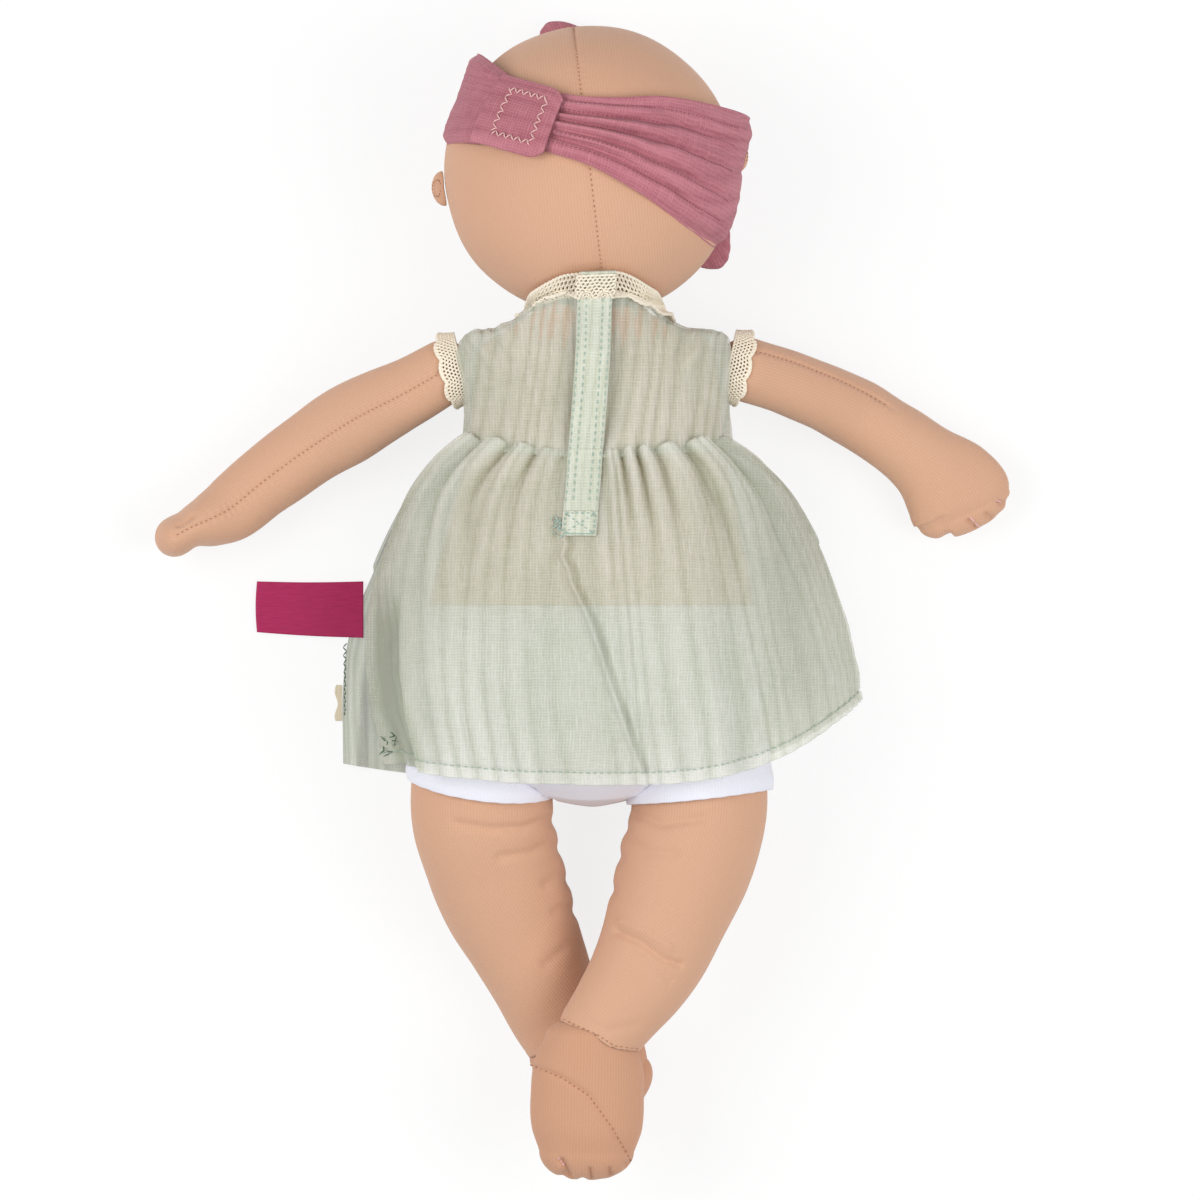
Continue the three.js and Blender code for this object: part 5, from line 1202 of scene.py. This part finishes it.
TAG_ROOT = float(row_at(SKIRT_CUT, np.array(0.58))[0]) - GAUZE - 0.35
TAG_LONG, TAG_WIDE = 38.5, 20.4
s, t = grid(90, 48)
flat = np.stack([TAG_ROOT - TAG_LONG * s - 0.5 * np.sin(math.pi * t) * s,
                 6.9 - 0.35 * np.sin(math.pi * s) - (TAG_WIDE - 2.0 * s) * t, FLOOR_EDGE + 0 * s], -1)
curl = 0.12 * np.cos(TURN * t) + 0.1 * np.sin(5 * s)
skins = [flat + UP * curl[..., None], flat - UP * (1.2 - curl * 0.5)[..., None]]
ribbon = object_of("ribbon_tag_satin", skins, False)
fasten(ribbon, (satin, "satin_ribbon"), "tag", "ribbon_tag")

PATCH_EDGE = FRONT_CUT[-1][1] - 0.35
s, t = grid(12, 40)
flat = np.stack([PATCH_EDGE - 2.8 * s * (0.8 + 0.2 * np.sin(t * 9)), -30.6 - 13 * t, 0.05 + 0 * s], -1)
zigzag = [(-86.2 - 1.4 * (k % 2), -15.5 - 1.5 * k) for k in range(19)]
sewn_on("patch_zigzag_thread", skirt_front_top, skirt_front_n, zigzag, 2.0, 0.5, dark_thread, "torso", 0.9)
patch = object_of("skirt_patch_crochet", [flat + UP * 0.8, flat], False, (flat[..., 0], flat[..., 1]))
cream_cloth = gauze("cream_cotton_crochet_patch", "#efe3cb", "#ddcfb2", 1.0, "crochet_cream")
fasten(patch, cream_cloth, "torso", "skirt_patch")

# ---------------------------------------------------------------------------------------------
# Headband: a strip of dusty rose double gauze, hemmed along both edges and worn askew round the
# head. It is gathered beside the closure, where a tab laps over it with hook and loop patches.
rose_gauze = gauze("rose_cotton_double_gauze_woven", "#ca8590", "#9c5a66", 1.0, "gauze_rose")
# Rows round the band: degrees, its lower and its upper edge, and how far each stands off the head.
BAND_CUT = [
    [-223, -2.6, 24.2, 4.4, 4.8], [-200, -4.4, 28, 1.6, 7.4], [-180, -5.9, 29, 0.5, 7.4], [-150, -4, 27, 0.5, 3],
    [-110, 3, 22, 0.5, 0.5], [-78, 8, 20, 0.5, 0.5], [-45, 0, 28, 0.5, 4], [0, -12.9, 34.5, 1, 10.6],
    [37, -10.8, 35, 0.5, 8], [67, -3.8, 32, 0.5, 3], [90, 0.7, 26, 0.5, 1], [108, 1.2, 22.4, 0.5, 0.5],
    [131, 2.5, 21, 0.5, 0.5],
]
# Creases from the tab to the right end of the band: where across the band each starts and ends, and how deep.
CREASES = [(0.70, 0.82, 2.4), (0.56, 0.60, 2.8), (0.42, 0.36, 2.4), (0.28, 0.14, 1.9)]
BAND_ACROSS = towards(math.radians(-16.6))
BAND_AXIS = np.cross(UP, BAND_ACROSS)


def ball_at(height):
    return np.sqrt(np.maximum(HEAD_R**2 - height**2, 0))


def on_band(degrees, height, radius):
    turn = np.radians(degrees)
    return (HEAD_MIDDLE + height[..., None] * BAND_AXIS + (radius * np.cos(turn))[..., None] * BAND_ACROSS
            + (radius * HEAD_DEEP / HEAD_R * np.sin(turn))[..., None] * UP)


def band_point(degrees, t, out=0.0):
    low, high, stand_low, stand_high = row_at(BAND_CUT, degrees)
    height = low + (high - low) * t
    straight = (ball_at(low) + stand_low) * (1 - t) + (ball_at(high) + stand_high) * t
    return on_band(degrees, height, np.maximum(straight, ball_at(height) + 0.5) + out)


s, t = grid(620, 90)
degrees = BAND_CUT[0][0] + (BAND_CUT[-1][0] - BAND_CUT[0][0]) * s
p = band_point(degrees, t)
n = facing(p, False, p - HEAD_MIDDLE)
width = row_at(BAND_CUT, degrees)[1] - row_at(BAND_CUT, degrees)[0]
turn_mm = np.radians(degrees) * HEAD_R
ribs = crinkle(t * 36 + 2.5 * lumps(turn_mm / 26, t, 83), turn_mm, 5.0, 81)
fine = crinkle(t * 30, turn_mm, 2.4, 85)
onward = np.clip((112 - degrees) / 112, 0, 1.6)
fold = 0
for start_t, end_t, deep in CREASES:
    off = (t - start_t - (end_t - start_t) * onward - 0.02 * lumps(turn_mm / 9, 0 * t, 87)) * width
    strong = deep * np.exp(-onward / 0.9) * ease(112 - degrees, -8, 6)
    strong = strong * (1 - 0.75 * ease(onward, 0.5, 1.0)) * (1 - ease(onward, 1.1, 1.5))
    fold = fold + strong * (0.55 * np.exp(-((np.abs(off) - 2.4) / 1.7) ** 2) - np.exp(-(off / 1.0) ** 2))
hem = 0.5 * np.exp(-np.minimum(t, 1 - t) * width / 1.2)
curl = 2.6 * ease(np.abs(2 * t - 1), 0.72, 1.0) ** 2 * ease(np.abs(np.cos(np.radians(degrees))), 0.2, 0.8)
outer = p + n * (GAUZE + 0.4 * (ribs - 0.5) + 0.15 * fine + hem + fold - curl - 0.1)[..., None]
inner = p + n * (np.minimum(fold, 0) - curl)[..., None] * 0.8
# Painted shade: the rib attribute darkens the band's furrows and its creases in its colour.
band = object_of("headband_gauze", [outer, inner], False, (turn_mm, t * 30.0), 0.7 * (ribs - 0.45) + 0.15 * fold)
fasten(band, rose_gauze, "head", "headband")
rose_thread = yarn("rose_thread_spun_polyester", "#a35a69")
for number, row in enumerate((16, 30, 49, 66, 78)):
    start, end = paced(outer[430:, row] + 0.1 * n[430:, row], 1.7)
    stitch_rows(f"headband_thread_{number}", start, end, unit(start - HEAD_MIDDLE), 0.36, rose_thread, "head")


def closure_piece(name, start, stop, low, high, out, thick, finish, body, node, seed, round_end=False, bend=None):
    s, t = grid(110, 70)
    degrees = start + (stop - start) * s
    half = (high - low) / 2
    if round_end:
        half = half * np.where(s > 0.8, np.sqrt(np.maximum(1 - ((s - 0.8) / 0.2) ** 2 * 0.42, 0)), 1)
    height = (low + high) / 2 + half * (2 * t - 1)
    p = on_band(degrees, height, ball_at(height) + out)
    n = unit(p - HEAD_MIDDLE)
    rib = crinkle(t * 24, s * 28, 4.5, seed)
    soft = np.exp(-np.minimum(np.minimum(t, 1 - t) * (high - low), (1 - s) * 24) / 0.9)
    top = p + n * (thick - 0.3 + 0.45 * rib - 0.5 * soft)[..., None]
    # Painted shade: the rib attribute darkens the furrows in the colour.
    made = object_of(name, [top, p + n * 0.03], False, (np.radians(degrees) * HEAD_R, height), rib - 0.45)
    fasten(made, finish, body, node, bend=bend and (bend, p[0, 35], p[22, 35]))
    return top, n


PATCH_TURN = 14 / 52.6 * 180 / math.pi
for kind, out, body, seed in (("loop_patch_pile", 2.25, "head", 91), ("hook_patch_hooks", 3.45, "band_tab", 92)):
    node = "band_" + kind.rsplit("_", 1)[0]
    closure_piece(f"band_{kind}", 129.5, 129.5 - PATCH_TURN, 5, 19, out, 0.8, pile_tape, body, node, seed)
tab, tab_n = closure_piece("headband_tab_gauze", 138.5, 107.5, -2.6, 23.4, 4.6, GAUZE, rose_gauze, "head",
                           "headband_tab", 93, True, "band_tab")
zig = []
corners = [(0.30, 0.20), (0.82, 0.20), (0.82, 0.82), (0.30, 0.82), (0.30, 0.20)]
for (s0, t0), (s1, t1) in zip(corners, corners[1:]):
    for k in range(11):
        off = 0.035 if k % 2 else -0.035
        zig.append((s0 + (s1 - s0) * k / 10 + off * (t1 != t0), t0 + (t1 - t0) * k / 10 + off * (s1 != s0)))
zig = np.array(zig)
zi, zj = (zig[:, 0] * 109).round().astype(int), (zig[:, 1] * 69).round().astype(int)
zig = tab[zi, zj] + tab_n[zi, zj] * 0.25
stitch_rows("tab_zigzag_thread", zig[:-1], zig[1:], tab_n[zi, zj][:-1], 0.6, pink_thread, "band_tab")

# Bow: two flat loops of the same gauze, caught in the middle by a knot, at the front of the band.
knot = eased("bow_knot", "head", "gauze", rose_gauze, 0.4)
KNOT = np.array([16.6, 168.0, 3.9])
for name, heading, reach in (("bow_loop_upper", 127.4, 51.0), ("bow_loop_lower", -55.2, 58.0)):
    ahead = towards(math.radians(heading))
    s, t = grid(240, 46, True)
    share = (1 - np.cos(s * TURN)) / 2
    high = 11 * (0.3 + 0.7 * share)
    wide = 9 + (22 - 9) * share**0.7
    flat = 8.2 + (reach - 8.2) * share - 12 * share * (2 * t - 1) ** 2
    p = KNOT + flat[..., None] * ahead + ((t - 0.5) * wide)[..., None] * np.cross(UP, ahead)
    p[..., 2] = 0.3 + high / 2 * (1 + np.sin(s * TURN))
    n = facing(p, True, p - p.mean((0, 1)))
    skins = [p + n * (0.45 * crinkle(t * 22, share * 60, 4.4, 95) - 0.35)[..., None], p - n * 1.1]
    for skin in skins:
        skin[..., 2] = np.maximum(skin[..., 2], 0.02)
    across = np.concatenate([t * wide, (t * wide)[:1]])
    down = np.concatenate([s * 110, 110 + 0 * t[:1]])
    loop = object_of(f"{name}_gauze", skins, True, (across, down))
    fasten(loop, rose_gauze, "head", name)

# ---------------------------------------------------------------------------------------------
# Studio: a plain pale floor, soft even light, and a long lens straight above the doll.
floor_mesh = bpy.data.meshes.new("studio_floor")
floor_mesh.from_pydata([(-20, -20, 0), (20, -20, 0), (20, 20, 0), (-20, 20, 0)], [], [(0, 1, 2, 3)])
floor = placed("studio_floor", floor_mesh)
floor.location.z = -0.0002
paper, tree, sockets = surface("white_paper_backdrop", 1.0, 0.0)
sockets["Base Color"].default_value = linear("#f4f4f4")
rays = add(tree, "LightPath").node.outputs
seen = add(tree, "Math", [rays["Is Camera Ray"], rays["Is Glossy Ray"]], operation="MAXIMUM")
seen = add(tree, "Math", [seen, rays["Is Transmission Ray"]], operation="MAXIMUM")
share = add(tree, "Math", [seen, 0.8], operation="MULTIPLY")
glow = add(tree, "Emission", [(1, 1, 1, 1), 1.02])
mixed = add(tree, "MixShader", [share, tree.nodes["Principled BSDF"].outputs[0], glow])
tree.links.new(mixed, tree.nodes["Material Output"].inputs[0])
floor_mesh.materials.append(paper)

scene = bpy.context.scene
world = bpy.data.worlds.new("studio_air")
world.use_nodes = True
background = world.node_tree.nodes["Background"].inputs
background[0].default_value, background[1].default_value = (1, 1, 1, 1), 0.42
scene.world = world
for name, place, power in (("key_softbox", (-1.0, 0.15, 1.3), 14.0), ("fill_softbox", (1.0, -0.15, 1.35), 13.1)):
    lamp = bpy.data.lights.new(name, "AREA")
    lamp.energy, lamp.size = power, 1.0
    softbox = placed(name, lamp)
    softbox.location = place
    x, y, z = place
    softbox.rotation_euler = (math.atan2(math.hypot(x, y), z), 0, math.atan2(-y, -x) - math.pi / 2)

lens = bpy.data.cameras.new("long_lens")
DISTANCE, VIEW = 6.0, 0.432
lens.sensor_width = 36.0
lens.lens = 36.0 * DISTANCE / VIEW
lens.clip_start, lens.clip_end = 0.1, 100.0
camera = placed("camera", lens)
camera.location = (0.0061, -0.0010, DISTANCE + 0.03)
scene.camera = camera
scene.view_settings.view_transform = "Standard"
